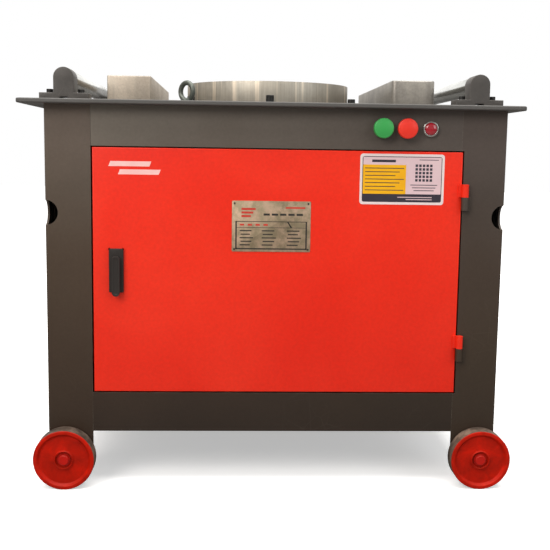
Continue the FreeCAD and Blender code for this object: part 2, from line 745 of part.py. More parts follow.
def make_belt_drive():
    parts["drive_pulley"] = v_pulley(motor_x, motor_y, belt_drive_radius, motor_shaft_radius + shaft_play)
    parts["driven_pulley"] = v_pulley(input_x, input_y, belt_driven_radius, input_shaft_radius + shaft_play)
    belt_half = 4.2
    centre = (belt_low + belt_high) / 2
    belts = []
    for i in range(groove_count):
        z = centre + (i - (groove_count - 1) / 2) * groove_pitch
        outer = belt_face(belt_drive_radius, belt_driven_radius, -1.0)
        inner = belt_face(belt_drive_radius, belt_driven_radius, -9.0)
        belt = outer.extrude(vec(0, 0, 2 * belt_half)).cut(inner.extrude(vec(0, 0, 2 * belt_half)))
        belt.translate(vec(0, 0, z - belt_half))
        belts.append(belt)
    parts["v_belts"] = group(belts)


def make_motor():
    fins = 32
    core, fin_tip = 92.0, 101.0
    points = []
    for fin in range(fins):
        centre = 2 * math.pi * fin / fins
        for offset, radius in ((-0.45, core), (-0.15, fin_tip), (0.15, fin_tip), (0.45, core)):
            turn = centre + offset * 2 * math.pi / fins
            points.append((motor_x + radius * math.cos(turn), motor_y + radius * math.sin(turn),
                           motor_low + 60.0))
    shell = prism(points, vec(0, 0, motor_high - motor_low - 85.0))
    cowl = rod(motor_x, motor_y, motor_low, 100.0, 62.0)
    cowl = cowl.makeFillet(12.0, edges_at_height(cowl, motor_low))
    shield = rod(motor_x, motor_y, motor_high - 25.0, 100.0, 25.0)
    terminal = block(motor_x + 80.0, motor_x + 135.0, motor_y - 55.0, motor_y + 55.0, 330.0, 430.0)
    feet = [block(motor_x + s * 80.0 - 18.0, motor_x + s * 80.0 + 18.0, motor_y + 40.0, motor_y + 112.0,
                  270.0, 420.0) for s in (-1, 1)]
    body = join([shell, cowl, shield, terminal] + feet)
    body = body.cut(rod(motor_x, motor_y, motor_high - 24.0, motor_shaft_radius + 0.05, 30.0))
    parts["motor_body"] = body
    low = motor_high - 22.0
    parts["motor_shaft"] = rod(motor_x, motor_y, low, motor_shaft_radius, belt_high + 2.0 - low)

    deck = beam_bottom + sheet + 5.0
    back = motor_y + 112.0
    plate = block(motor_x - 105.0, motor_x + 105.0, back, back + 12.0, deck, 450.0)
    foot = block(motor_x - 105.0, motor_x + 105.0, back, back + 120.0, deck, deck + 12.0)
    webs = []
    for x in (motor_x - 95.0, motor_x + 85.0):
        corners = [(x, back + 12.0, deck + 12.0), (x, back + 112.0, deck + 12.0), (x, back + 12.0, 400.0)]
        webs.append(prism(corners, vec(10.0, 0, 0)))
    parts["motor_bracket"] = join([plate, foot] + webs)


def make_electrics():
    wall = cab_right - sheet - 3.0
    depth, low, high, y0, y1 = 92.0, 420.0, 650.0, 60.0, 240.0
    outer = block(wall - depth, wall, y0, y1, low, high)
    outer = outer.makeFillet(4.0, upright_edges(outer))
    cover_line = block(wall - depth + 6.0, wall - depth + 8.0, y0 - 1, y1 + 1, low - 1, high + 1)
    seam = cover_line.cut(block(wall - depth, wall, y0 + 1.5, y1 - 1.5, low + 1.5, high - 1.5))
    parts["control_box"] = outer.cut(seam)
    x, z, y = 300.0, 230.0, cab_rear - sheet - 3.0
    collar = hexagon(0, 0, 0, 30.0, 9.0)
    collar.rotate(vec(0, 0, 0), vec(1, 0, 0), -90)
    collar.translate(vec(x, y + 3.0, z))
    nut = hexagon(0, 0, 0, 30.0, 6.0)
    nut.rotate(vec(0, 0, 0), vec(1, 0, 0), -90)
    nut.translate(vec(x, y - 6.0, z))
    neck = rod_y(x, y - 6.0, z, 12.8, 22.0)
    dome = rod_y(x, y + 12.0, z, 13.5, 14.0)
    dome = dome.makeFillet(4.0, [e for e in dome.Edges if abs(e.BoundBox.YMin - (y + 26.0)) < 0.01])
    gland = join([collar, nut, neck, dome])
    parts["power_gland"] = gland.cut(rod_y(x, y - 10.0, z, 7.0, 50.0))


# ---- wheels -------------------------------------------------------------------------
def wheel_solid():
    """A wheel about +Y, its outer face at y = 0 and its inner face at y = wheel_width."""
    bore = axle_radius + 0.06
    profile = [(bore, 8.0), (17.0, 8.0), (17.0, 2.2), (19.0, 2.2), (19.0, 5.5), (50.0, 5.5),
               (52.5, 1.0), (54.0, 0.0), (58.0, 0.0), (wheel_radius, 3.0), (wheel_radius, wheel_width - 2.0), (wheel_radius - 2.0, wheel_width),
               (52.0, wheel_width), (50.0, 13.5), (20.0, 13.5), (20.0, wheel_width), (bore, wheel_width)]
    corners = [vec(r, y, 0) for r, y in profile]
    face = Part.Face(Part.makePolygon(corners + [corners[0]]))
    return face.revolve(vec(0, 0, 0), vec(0, 1, 0), 360)


def make_wheels():
    axles = []
    for side, side_name in ((-1, "left"), (1, "right")):
        x = cabinet_shift + side * wheel_offset
        for end, end_name in ((-1, "front"), (1, "rear")):
            wheel = wheel_solid()
            wheel.translate(vec(0, -wheel_face, 0))
            stub = rod_y(0, -wheel_face + 0.5, 0, axle_radius, 60.0)
            stub = stub.makeChamfer(1.0, edges_facing_front(stub))
            head = ring_y(0, -wheel_face + 6.0, 0, 12.5, axle_radius, 1.6)
            shoulder = rod_y(0, -wheel_face + wheel_width + 0.5, 0, 15.0, 3.5)
            lug_top = post_foot - wheel_radius
            lug = block(-22.0, 22.0, -wheel_face + wheel_width + 4.0, -320.0, -16.0, lug_top)
            axle = join([stub, head, shoulder, lug])
            if end > 0:
                wheel, axle = mirror_y(wheel), mirror_y(axle)
            for shape in (wheel, axle):
                shape.translate(vec(x, 0, wheel_radius))
            parts["wheel_%s_%s" % (end_name, side_name)] = wheel
            axles.append(axle)
    parts["wheel_axles"] = group(axles)


def build():
    make_table()
    make_seat_block(-1, "seat_block_left", 4.0)
    make_seat_block(1, "seat_block_right", 9.0)
    make_cap_screws()
    make_lifting_eye()
    make_turntable()
    for x, y in pillow_places:
        end = "front" if y < 0 else "rear"
        side = "left" if x < 0 else "right"
        make_pillow_block(x, y, "pillow_block_%s_%s" % (end, side))
    make_pillow_bolts()
    make_rollers()
    make_posts()
    make_front_beams()
    make_side_panels()
    make_rear_panel()
    make_base_deck()
    make_door()
    make_hinges()
    make_lock()
    make_plates()
    make_controls()
    make_gear_train()
    make_gearbox()
    make_belt_drive()
    make_motor()
    make_electrics()
    make_wheels()


build()
os.makedirs("parts", exist_ok=True)
for name, shape in sorted(parts.items()):
    if not shape.isValid():
        print("not valid:", name)
    shape.exportStep("parts/%s.step" % name)
print(len(parts), "nodes")
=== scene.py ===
import math

import bmesh
import bpy
from mathutils import Matrix, Vector


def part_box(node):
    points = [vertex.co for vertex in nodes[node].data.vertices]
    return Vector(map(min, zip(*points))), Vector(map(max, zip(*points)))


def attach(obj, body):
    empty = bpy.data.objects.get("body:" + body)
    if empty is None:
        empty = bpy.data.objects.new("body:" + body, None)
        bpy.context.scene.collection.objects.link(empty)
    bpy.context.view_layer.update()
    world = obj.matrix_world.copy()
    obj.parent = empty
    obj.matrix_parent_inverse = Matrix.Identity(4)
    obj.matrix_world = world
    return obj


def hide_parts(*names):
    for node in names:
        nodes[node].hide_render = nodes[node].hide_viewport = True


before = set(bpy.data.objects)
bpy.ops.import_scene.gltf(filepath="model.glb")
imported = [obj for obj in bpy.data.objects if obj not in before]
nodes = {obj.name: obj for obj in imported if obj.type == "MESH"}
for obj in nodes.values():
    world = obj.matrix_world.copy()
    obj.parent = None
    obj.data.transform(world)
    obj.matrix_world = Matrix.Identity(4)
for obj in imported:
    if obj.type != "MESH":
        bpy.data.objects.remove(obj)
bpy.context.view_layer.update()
print("frame loaded:", len(nodes), "nodes")


# modelling helpers
def clearPick():
    if bpy.context.mode != "OBJECT":
        bpy.ops.object.mode_set(mode="OBJECT")
    bpy.ops.object.select_all(action="DESELECT")


def pick(piece):
    clearPick()
    bpy.context.view_layer.objects.active = piece
    piece.select_set(True)


def settle(name):  # the place of a new primitive goes into its mesh
    piece = bpy.context.active_object
    piece.name = name
    piece.data.name = name
    bpy.ops.object.transform_apply(location=True, rotation=True, scale=True)
    return piece


def newBox(name, low, high):
    low, high = Vector(low), Vector(high)
    clearPick()
    bpy.ops.mesh.primitive_cube_add(size=1, location=(low + high) / 2)
    bpy.context.active_object.scale = high - low
    return settle(name)


def newRod(name, centre, along, radius, length, around=96):
    turns = {"x": (0, math.pi / 2, 0), "y": (math.pi / 2, 0, 0), "z": (0, 0, 0)}
    clearPick()
    bpy.ops.mesh.primitive_cylinder_add(vertices=around, radius=radius, depth=length,
                                        location=centre, rotation=turns[along])
    return settle(name)


def facing(way, level=None):  # faces that look one way, and lie at a level along it
    way = Vector(way)
    return lambda face: face.normal.dot(way) > 0.99 and (
        level is None or abs(face.calc_center_median().dot(way) - level) < 2e-4)


def edit(piece, test, kind="FACE"):
    pick(piece)
    bpy.ops.object.mode_set(mode="EDIT")
    bpy.ops.mesh.select_mode(type=kind)
    bpy.ops.mesh.select_all(action="DESELECT")
    net = bmesh.from_edit_mesh(piece.data)
    net.normal_update()
    for item in (net.faces if kind == "FACE" else net.edges):
        if test(item):
            item.select_set(True)
    bmesh.update_edit_mesh(piece.data)


def done():
    bpy.ops.object.mode_set(mode="OBJECT")


def step(piece, test, moves):  # a turned or pressed profile: (narrower by, raised by) again and again
    edit(piece, test)
    for narrower, raised in moves:
        bpy.ops.mesh.inset(thickness=narrower, depth=raised)
    done()


def boreThrough(piece, test):  # joins two facing caps into a hole
    edit(piece, test)
    bpy.ops.mesh.bridge_edge_loops()
    done()


def apply(piece, kind, **settings):
    pick(piece)
    change = piece.modifiers.new(kind.title(), kind)
    for key, value in settings.items():
        setattr(change, key, value)
    bpy.ops.object.modifier_apply(modifier=change.name)


def roundEdges(piece, width, segments=2, angle=32):
    apply(piece, "BEVEL", width=width, segments=segments, limit_method="ANGLE",
          angle_limit=math.radians(angle), use_clamp_overlap=True)


def slide(piece, test, by):
    edit(piece, test)
    bpy.ops.transform.translate(value=by)
    done()


def pull(piece, test, by):  # draws the chosen faces out of the piece
    edit(piece, test)
    bpy.ops.mesh.extrude_region_move(TRANSFORM_OT_translate={"value": by})
    done()


def halve(piece, spot, **side):  # keeps one half of a rod, and closes it
    edit(piece, lambda face: True)
    bpy.ops.mesh.bisect(plane_co=spot, plane_no=(0, 0, 1), use_fill=True, **side)
    done()


def spans(axis, least):  # edges that run along an axis
    return lambda edge: abs(edge.verts[0].co[axis] - edge.verts[1].co[axis]) > least


def atLevel(axis, level):  # edges whose ends both lie at a level
    return lambda edge: all(abs(vert.co[axis] - level) < 1e-5 for vert in edge.verts)


def bevelPicked(piece, test, width, segments):
    edit(piece, test, "EDGE")
    bpy.ops.mesh.bevel(offset=width, segments=segments, profile=0.5, affect="EDGES")
    done()


def cut(piece, tools, how="DIFFERENCE"):
    for tool in tools:
        apply(piece, "BOOLEAN", object=tool, operation=how, solver="EXACT")
        bpy.data.objects.remove(tool)


def smooth(piece, angle=34):
    pick(piece)
    bpy.ops.object.shade_smooth_by_angle(angle=math.radians(angle))


def mergeAll(name, pieces):
    pick(pieces[0])
    for other in pieces[1:]:
        other.select_set(True)
    bpy.ops.object.join()
    joined = bpy.context.active_object
    joined.name = name
    joined.data.name = name
    return joined


def paintFaces(piece, finish, test):  # a second finish on some faces
    piece.data.materials.append(finish)
    edit(piece, test)
    piece.active_material_index = len(piece.data.materials) - 1
    bpy.ops.object.material_slot_assign()
    done()


def enlist(piece, finish, body, slotName, *standsFor):
    if not piece.data.materials:
        piece.data.materials.append(finish)
    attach(piece, body)
    if standsFor:
        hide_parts(*standsFor)


# shader helpers
def put(tree, kind, inputs=None, **settings):
    node = tree.nodes.new(kind)
    for key, value in settings.items():
        setattr(node, key, value)
    for key, value in (inputs or {}).items():
        socket = node.inputs[key]
        if isinstance(value, bpy.types.NodeSocket):
            tree.links.new(value, socket)
        else:
            socket.default_value = value
    return node


def calc(tree, how, *values):
    node = put(tree, "ShaderNodeMath", dict(enumerate(values)), operation=how)
    return node.outputs[0]


def stretch(tree, value, low, high, toLow=0.0, toHigh=1.0):
    node = put(tree, "ShaderNodeMapRange", {"Value": value, "From Min": low, "From Max": high,
                                            "To Min": toLow, "To Max": toHigh}, clamp=True)
    return node.outputs["Result"]


def mixColour(tree, factor, first, second, how="MIX"):
    node = put(tree, "ShaderNodeMix", {0: factor, 6: first, 7: second}, data_type="RGBA", blend_type=how)
    return node.outputs[2]


def shaded(tree, tone, grey):  # the same colour, lighter or darker
    greys = put(tree, "ShaderNodeCombineColor", {0: grey, 1: grey, 2: grey}).outputs[0]
    return mixColour(tree, 1.0, tone, greys, "MULTIPLY")


def noise(tree, where, scale, detail=3.0, rough=0.55, **more):
    inputs = {"Vector": where, "Scale": scale, "Detail": detail, "Roughness": rough}
    inputs.update(more)
    return put(tree, "ShaderNodeTexNoise", inputs).outputs["Fac"]


def here(tree):  # Object coordinates
    return put(tree, "ShaderNodeTexCoord").outputs["Object"]


def place(tree, longer=(1, 1, 1)):  # Object coordinates, drawn out along each axis
    return put(tree, "ShaderNodeMapping", {"Vector": here(tree), "Scale": longer},
               vector_type="TEXTURE").outputs["Vector"]


def apart(tree, vector):  # its X, Y and Z
    return put(tree, "ShaderNodeSeparateXYZ", {0: vector}).outputs


def normalOf(tree):
    return put(tree, "ShaderNodeNewGeometry").outputs["Normal"]


def newGroup(name, ins, outs):
    tree = bpy.data.node_groups.new(name, "ShaderNodeTree")
    kinds = {"c": "NodeSocketColor", "f": "NodeSocketFloat", "v": "NodeSocketVector"}
    for key, kind in ins:
        tree.interface.new_socket(key, in_out="INPUT", socket_type=kinds[kind])
    for key, kind in outs:
        tree.interface.new_socket(key, in_out="OUTPUT", socket_type=kinds[kind])
    return tree, put(tree, "NodeGroupInput").outputs, put(tree, "NodeGroupOutput").inputs


def link(tree, pairs):
    for source, target in pairs:
        tree.links.new(source, target)


def makePaintSkin():  # sprayed paint: patches of tone, orange peel and soft gloss changes
    tree, given, out = newGroup("paintSkin", [("Colour", "c"), ("Second Colour", "c"), ("Patch", "f"),
                                              ("Peel", "f"), ("Rough Low", "f"), ("Rough High", "f")],
                                [("Colour", "c"), ("Roughness", "f"), ("Height", "f")])
    spot = here(tree)
    patches = noise(tree, spot, given["Patch"], 4.0, 0.6, Distortion=0.6)
    fine = noise(tree, spot, 160.0, 2.0)
    tone = mixColour(tree, stretch(tree, patches, 0.3, 0.72), given["Colour"], given["Second Colour"])
    speck = stretch(tree, fine, 0.2, 0.8, 0.93, 1.06)
    tone = shaded(tree, tone, speck)
    drawn = put(tree, "ShaderNodeMapping", {"Vector": spot, "Scale": (1.0, 1.0, 0.35)}).outputs[0]
    smear = noise(tree, drawn, 9.0, 5.0, 0.65)
    gloss = put(tree, "ShaderNodeMapRange", {"Value": smear, "From Min": 0.3, "From Max": 0.7,
                                             "To Min": given["Rough Low"], "To Max": given["Rough High"]})
    peel = calc(tree, "MULTIPLY", noise(tree, spot, 420.0, 1.0), given["Peel"])
    wave = calc(tree, "MULTIPLY", noise(tree, spot, 60.0, 1.0), given["Peel"])
    link(tree, [(tone, out["Colour"]), (gloss.outputs[0], out["Roughness"]),
                (calc(tree, "ADD", peel, wave), out["Height"])])
    return tree


def makeEdgeWear():  # where handling rubs a sharp edge
    tree, given, out = newGroup("edgeWear", [("Reach", "f"), ("Amount", "f")], [("Mask", "f")])
    soft = put(tree, "ShaderNodeBevel", {"Radius": given["Reach"]}, samples=4).outputs[0]
    alike = put(tree, "ShaderNodeVectorMath", {0: soft, 1: normalOf(tree)},
                operation="DOT_PRODUCT").outputs["Value"]
    edge = stretch(tree, alike, 0.985, 0.88)
    spot = here(tree)
    broken = stretch(tree, noise(tree, spot, 38.0, 6.0, 0.7), 0.42, 0.62)
    mask = calc(tree, "MULTIPLY", calc(tree, "MULTIPLY", edge, broken), given["Amount"])
    tree.links.new(mask, out["Mask"])
    return tree


def makeDustFall():  # pale dust on faces that look up
    tree, given, out = newGroup("dustFall", [("Amount", "f")], [("Mask", "f")])
    up = apart(tree, normalOf(tree))["Z"]
    spot = here(tree)
    clump = stretch(tree, noise(tree, spot, 14.0, 8.0, 0.75), 0.35, 0.75)
    lying = calc(tree, "MULTIPLY", stretch(tree, up, 0.45, 0.95), clump)
    tree.links.new(calc(tree, "MULTIPLY", lying, given["Amount"]), out["Mask"])
    return tree


def makeScratches():  # fine straight scratches, two ways
    tree, given, out = newGroup("scratches", [("Vector", "v"), ("Scale", "f"), ("Amount", "f")],
                                [("Mask", "f")])
    masks = []
    for turn in (0.35, -1.1):
        turned = put(tree, "ShaderNodeMapping", {"Vector": given["Vector"], "Rotation": (turn, turn, turn),
                                                 "Scale": (1.0, 0.06, 1.0)}).outputs[0]
        cells = put(tree, "ShaderNodeTexVoronoi", {"Vector": turned, "Scale": given["Scale"]},
                    feature="DISTANCE_TO_EDGE").outputs["Distance"]
        masks.append(stretch(tree, cells, 0.012, 0.002))
    patch = stretch(tree, noise(tree, given["Vector"], 7.0, 3.0), 0.5, 0.7)
    both = calc(tree, "MULTIPLY", calc(tree, "MAXIMUM", *masks), patch)
    tree.links.new(calc(tree, "MULTIPLY", both, given["Amount"]), out["Mask"])
    return tree


def makeMetalGrain():  # ground or drawn steel: lines along one way, and stains
    tree, given, out = newGroup("metalGrain", [("Vector", "v"), ("Colour", "c"), ("Second Colour", "c"),
                                               ("Lines", "f"), ("Rough Low", "f"), ("Rough High", "f")],
                                [("Colour", "c"), ("Roughness", "f"), ("Height", "f")])
    lines = noise(tree, given["Vector"], given["Lines"], 3.0, 0.7)
    spot = here(tree)
    stain = stretch(tree, noise(tree, spot, 11.0, 6.0, 0.65, Distortion=0.8), 0.35, 0.7)
    tone = mixColour(tree, stain, given["Colour"], given["Second Colour"])
    shade = stretch(tree, lines, 0.25, 0.75, 0.82, 1.12)
    tone = shaded(tree, tone, shade)
    gloss = put(tree, "ShaderNodeMapRange", {"Value": calc(tree, "ADD", calc(tree, "MULTIPLY", lines, 0.5),
                                                           calc(tree, "MULTIPLY", stain, 0.5)),
                                             "From Min": 0.2, "From Max": 0.8,
                                             "To Min": given["Rough Low"], "To Max": given["Rough High"]})
    link(tree, [(tone, out["Colour"]), (gloss.outputs[0], out["Roughness"]), (lines, out["Height"])])
    return tree


groups = {"paintSkin": makePaintSkin(), "edgeWear": makeEdgeWear(), "dustFall": makeDustFall(),
          "scratches": makeScratches(), "metalGrain": makeMetalGrain()}
print("shader groups ready")


def facesUp(tree):  # 1 on level faces, 0 on upright ones
    return stretch(tree, calc(tree, "ABSOLUTE", apart(tree, normalOf(tree))["Z"]), 0.4, 0.8)


def use(tree, name, **inputs):
    sockets = {key.replace("_", " "): value for key, value in inputs.items()}
    return put(tree, "ShaderNodeGroup", sockets, node_tree=groups[name]).outputs


def newMaterial(name):
    finish = bpy.data.materials.new(name)
    finish.use_nodes = True
    tree = finish.node_tree
    tree.nodes.clear()
    shader = put(tree, "ShaderNodeBsdfPrincipled")
    tree.links.new(shader.outputs[0], put(tree, "ShaderNodeOutputMaterial").inputs["Surface"])
    return finish, tree, shader.inputs


def tint(red, green, blue):  # a colour as a picture program shows it
    def one(value):
        value /= 255
        return value / 12.92 if value <= 0.04045 else ((value + 0.055) / 1.055) ** 2.4
    return (one(red), one(green), one(blue), 1.0)


def wire(tree, shader, colour, rough, height, strength, reach):  # colour, gloss and relief of a finish
    bump = put(tree, "ShaderNodeBump", {"Height": height, "Strength": strength, "Distance": reach})
    link(tree, [(colour, shader["Base Color"]), (rough, shader["Roughness"]),
                (bump.outputs[0], shader["Normal"])])


def paintFinish(name, look):
    finish, tree, shader = newMaterial(name)
    skin = use(tree, "paintSkin", Colour=look["colour"], Second_Colour=look["second"], Patch=look["patch"],
               Peel=look["peel"], Rough_Low=look["rough"][0], Rough_High=look["rough"][1])
    base = skin["Colour"]
    if "toneAndPaintedShade" in look:  # the paint's own colour at even steps of height, left and right, with painted shade: darker towards the floor and on the right side
        spot = apart(tree, place(tree))
        wander = calc(tree, "MULTIPLY", calc(tree, "SUBTRACT", noise(tree, place(tree), 5.0, 4.0), 0.5), 0.16)
        height = stretch(tree, calc(tree, "ADD", spot["Z"], wander), look["paintedShadeFrom"], look["paintedShadeTo"])
        sides = []
        for colours in look["toneAndPaintedShade"]:
            ramp = put(tree, "ShaderNodeValToRGB", {0: height})
            while len(ramp.color_ramp.elements) < len(colours):
                ramp.color_ramp.elements.new(0.5)
            for number, colour in enumerate(colours):
                ramp.color_ramp.elements[number].position = number / (len(colours) - 1)
                ramp.color_ramp.elements[number].color = colour
            sides.append(ramp.outputs[0])
        # left to right: the right side darker as painted shade
        toneAndPaintedShade = mixColour(tree, stretch(tree, spot["X"], -0.35, 0.35), *sides)
        base = mixColour(tree, 1.0, base, toneAndPaintedShade, "MULTIPLY")
    if "inner" in look:  # another colour nearer the middle of the machine
        depth = calc(tree, "ABSOLUTE", apart(tree, place(tree))["Y"])
        base = mixColour(tree, stretch(tree, depth, look["innerFrom"] - 0.001, look["innerFrom"]),
                         look["inner"], base)
    dust = use(tree, "dustFall", Amount=look["dust"])["Mask"]
    worn = use(tree, "edgeWear", Reach=look.get("wearReach", 0.0012), Amount=look["wear"])["Mask"]
    marks = use(tree, "scratches", Vector=place(tree), Scale=look.get("scratchScale", 16.0),
                Amount=look["scratch"])["Mask"]
    colour = mixColour(tree, marks, base, look["mark"])
    colour = mixColour(tree, dust, colour, look["dustColour"])
    colour = mixColour(tree, worn, colour, look["bare"])
    rough = calc(tree, "ADD", skin["Roughness"], calc(tree, "MULTIPLY", dust, 0.3))
    wire(tree, shader, colour, rough, skin["Height"], look["bump"], 0.0004)
    link(tree, [(calc(tree, "MULTIPLY", worn, 0.85), shader["Metallic"])])
    shader["Specular IOR Level"].default_value = look["specular"]
    return finish


def metalFinish(name, look):
    finish, tree, shader = newMaterial(name)
    grain = use(tree, "metalGrain", Vector=place(tree, look["run"]), Colour=look["colour"],
                Second_Colour=look["second"], Lines=look["lines"], Rough_Low=look["rough"][0],
                Rough_High=look["rough"][1])
    base = grain["Colour"]
    if "bands" in look:  # soft upright bands, left by the cutter across X
        band = noise(tree, place(tree, (1.0, 60.0, 60.0)), look["bands"], 2.0, 0.5)
        base = shaded(tree, base, stretch(tree, band, 0.4, 0.66, 0.92, 1.2))
    if "top" in look:
        base = mixColour(tree, facesUp(tree), base, mixColour(tree, 0.2, look["top"], base))
    if "spots" in look:  # dark scuffs from rolling over grit
        scuff = stretch(tree, noise(tree, place(tree), look["spots"], 5.0, 0.7), 0.44, 0.58, 0.55, 1.15)
        base = shaded(tree, base, scuff)
    worn = use(tree, "edgeWear", Reach=0.0015, Amount=look["wear"])["Mask"]
    colour = mixColour(tree, worn, base, look["bright"])
    wire(tree, shader, colour, grain["Roughness"], grain["Height"], look["bump"], 0.0003)
    shader["Metallic"].default_value = look["metal"]
    return finish


frameLook = {
    "colour": tint(255, 255, 255), "second": tint(234, 236, 236), "patch": 2.6, "peel": 1.0,
    "rough": (0.42, 0.58), "dust": 0.35, "dustColour": tint(150, 140, 128), "wear": 0.5,
    "bare": tint(136, 130, 122), "scratch": 0.10, "mark": tint(104, 96, 88), "bump": 0.16, "specular": 0.26,
    # the frame's own dark brown-grey, painted darker towards the floor and on the right as painted shade, and
    # lighter at the top to offset the shade under the table's edge
    "paintedShadeFrom": 0.10, "paintedShadeTo": 0.78,
    "toneAndPaintedShade": ([tint(48, 38, 31), tint(60, 46, 36), tint(72, 58, 46), tint(92, 82, 72), tint(120, 112, 103)],
             [tint(46, 37, 30), tint(60, 48, 38), tint(66, 54, 45), tint(74, 65, 59), tint(96, 88, 83)])}
framePaint = paintFinish("framePaint", frameLook)
# the table's own grey, lighter at the top and a little darker on the right as painted shade
tablePaint = paintFinish("tablePaint", {
    **frameLook, "dust": 0.3, "dustColour": tint(124, 120, 114), "bare": tint(112, 108, 103), "wear": 0.35,
    "toneAndPaintedShade": ([tint(82, 79, 77), tint(94, 92, 90)], [tint(80, 77, 75), tint(90, 88, 86)])})
# the posts' own colour with the same painted shade: darker towards the floor and on the right side
postPaint = paintFinish("postPaint", {**frameLook, "toneAndPaintedShade": (  # the posts, a little browner than the beams
    [tint(54, 42, 33), tint(64, 50, 39), tint(74, 60, 48), tint(86, 75, 65), tint(106, 94, 85)],
    [tint(54, 43, 34), tint(64, 52, 41), tint(68, 56, 47), tint(74, 65, 59), tint(90, 80, 75)])})
doorPaint = paintFinish("doorPaint", {
    "colour": tint(240, 50, 26), "second": tint(228, 33, 8), "patch": 2.6, "peel": 1.0,
    "rough": (0.30, 0.44), "dust": 0.15, "dustColour": tint(214, 120, 105), "wear": 0.35,
    "bare": tint(236, 110, 92), "scratch": 0.05, "mark": tint(236, 84, 62), "bump": 0.06, "specular": 0.32})
wheelPaint = paintFinish("wheelPaint", {
    "colour": tint(200, 24, 0), "second": tint(150, 18, 0), "patch": 30.0, "peel": 1.5, "rough": (0.40, 0.6),
    "dust": 0.25, "dustColour": tint(164, 100, 80), "wear": 0.45, "bare": tint(140, 64, 46), "scratch": 0.3,
    "mark": tint(112, 22, 6), "bump": 0.35, "specular": 0.14, "scratchScale": 60.0, "wearReach": 0.0014})
motorPaint = paintFinish("motorPaint", {
    "colour": tint(58, 84, 108), "second": tint(48, 72, 96), "patch": 9.0, "peel": 1.6,
    "rough": (0.38, 0.55), "dust": 0.5, "dustColour": tint(140, 142, 140), "wear": 0.4,
    "bare": tint(150, 150, 148), "scratch": 0.1, "mark": tint(110, 128, 140), "bump": 0.3, "specular": 0.45})
boxPaint = paintFinish("boxPaint", {
    "colour": tint(196, 196, 188), "second": tint(184, 184, 176), "patch": 8.0, "peel": 1.0,
    "rough": (0.4, 0.55), "dust": 0.4, "dustColour": tint(150, 146, 138), "wear": 0.3,
    "bare": tint(120, 120, 116), "scratch": 0.12, "mark": tint(150, 150, 144), "bump": 0.15,
    "specular": 0.45})
pillowPaint = paintFinish("pillowPaint", {
    "colour": tint(78, 74, 71), "second": tint(67, 64, 61), "patch": 24.0, "peel": 1.2, "rough": (0.44, 0.6),
    "dust": 0.45, "dustColour": tint(158, 150, 140), "wear": 0.6, "bare": tint(160, 156, 150),
    "scratch": 0.2, "mark": tint(132, 128, 122), "bump": 0.25, "specular": 0.42, "scratchScale": 50.0})
# two copies of one ground steel: the right block's darker, cooler copy is painted shade, the left block's
# warmer, brighter copy below is painted light
blockSteelPaintedShade = metalFinish("blockSteelPaintedShade", {
    "colour": tint(176, 170, 160), "second": tint(153, 148, 142), "run": (1.0, 20.0, 1.0), "lines": 260.0,
    "rough": (0.36, 0.52), "wear": 0.7, "bright": tint(218, 206, 188), "bump": 0.05, "metal": 0.75,
    "bands": 42.0, "top": tint(138, 139, 139)})
blockSteelPaintedLight = metalFinish("blockSteelPaintedLight", {
    "colour": tint(190, 179, 164), "second": tint(176, 164, 150), "run": (1.0, 20.0, 1.0), "lines": 260.0,
    "rough": (0.46, 0.62), "wear": 0.6, "bright": tint(206, 198, 186), "bump": 0.05, "metal": 0.7,
    "bands": 30.0, "top": tint(138, 139, 139)})
rollerSteel = metalFinish("rollerSteel", {
    "colour": tint(210, 212, 210), "second": tint(196, 197, 196), "run": (1.0, 50.0, 1.0), "lines": 160.0,
    "rough": (0.16, 0.24), "wear": 0.2, "bright": tint(235, 235, 232), "bump": 0.015, "metal": 0.95})
eyeSteel = metalFinish("eyeSteel", {
    "colour": tint(104, 108, 101), "second": tint(82, 87, 82), "run": (1.0, 1.0, 1.0), "lines": 260.0,
    "rough": (0.36, 0.52), "wear": 0.5, "bright": tint(150, 150, 142), "bump": 0.3, "metal": 0.6})
gearSteel = metalFinish("gearSteel", {
    "colour": tint(150, 150, 148), "second": tint(112, 108, 102), "run": (1.0, 1.0, 10.0), "lines": 240.0,
    "rough": (0.3, 0.5), "wear": 0.6, "bright": tint(210, 210, 206), "bump": 0.14, "metal": 0.92})
castIron = metalFinish("castIron", {
    "colour": tint(84, 88, 92), "second": tint(64, 66, 68), "run": (1.0, 1.0, 1.0), "lines": 180.0,
    "rough": (0.5, 0.72), "wear": 0.5, "bright": tint(150, 150, 150), "bump": 0.5, "metal": 0.35})
blackScrew = metalFinish("blackScrew", {
    "colour": tint(52, 51, 50), "second": tint(38, 37, 36), "run": (1.0, 1.0, 3.0), "lines": 420.0,
    "rough": (0.36, 0.52), "wear": 0.9, "bright": tint(128, 124, 118), "bump": 0.2, "metal": 0.6})
wornIron = metalFinish("wornIron", {  # tread of a wheel, rubbed through its paint
    "colour": tint(72, 62, 54), "second": tint(140, 118, 102), "run": (1.0, 1.0, 1.0), "lines": 110.0,
    "rough": (0.5, 0.72), "wear": 0.5, "bright": tint(176, 160, 144), "bump": 0.6, "metal": 0.3,
    "spots": 38.0})
chrome = metalFinish("chrome", {
    "colour": tint(206, 204, 200), "second": tint(176, 172, 168), "run": (1.0, 1.0, 1.0), "lines": 300.0,
    "rough": (0.12, 0.26), "wear": 0.2, "bright": tint(240, 240, 238), "bump": 0.05, "metal": 1.0})


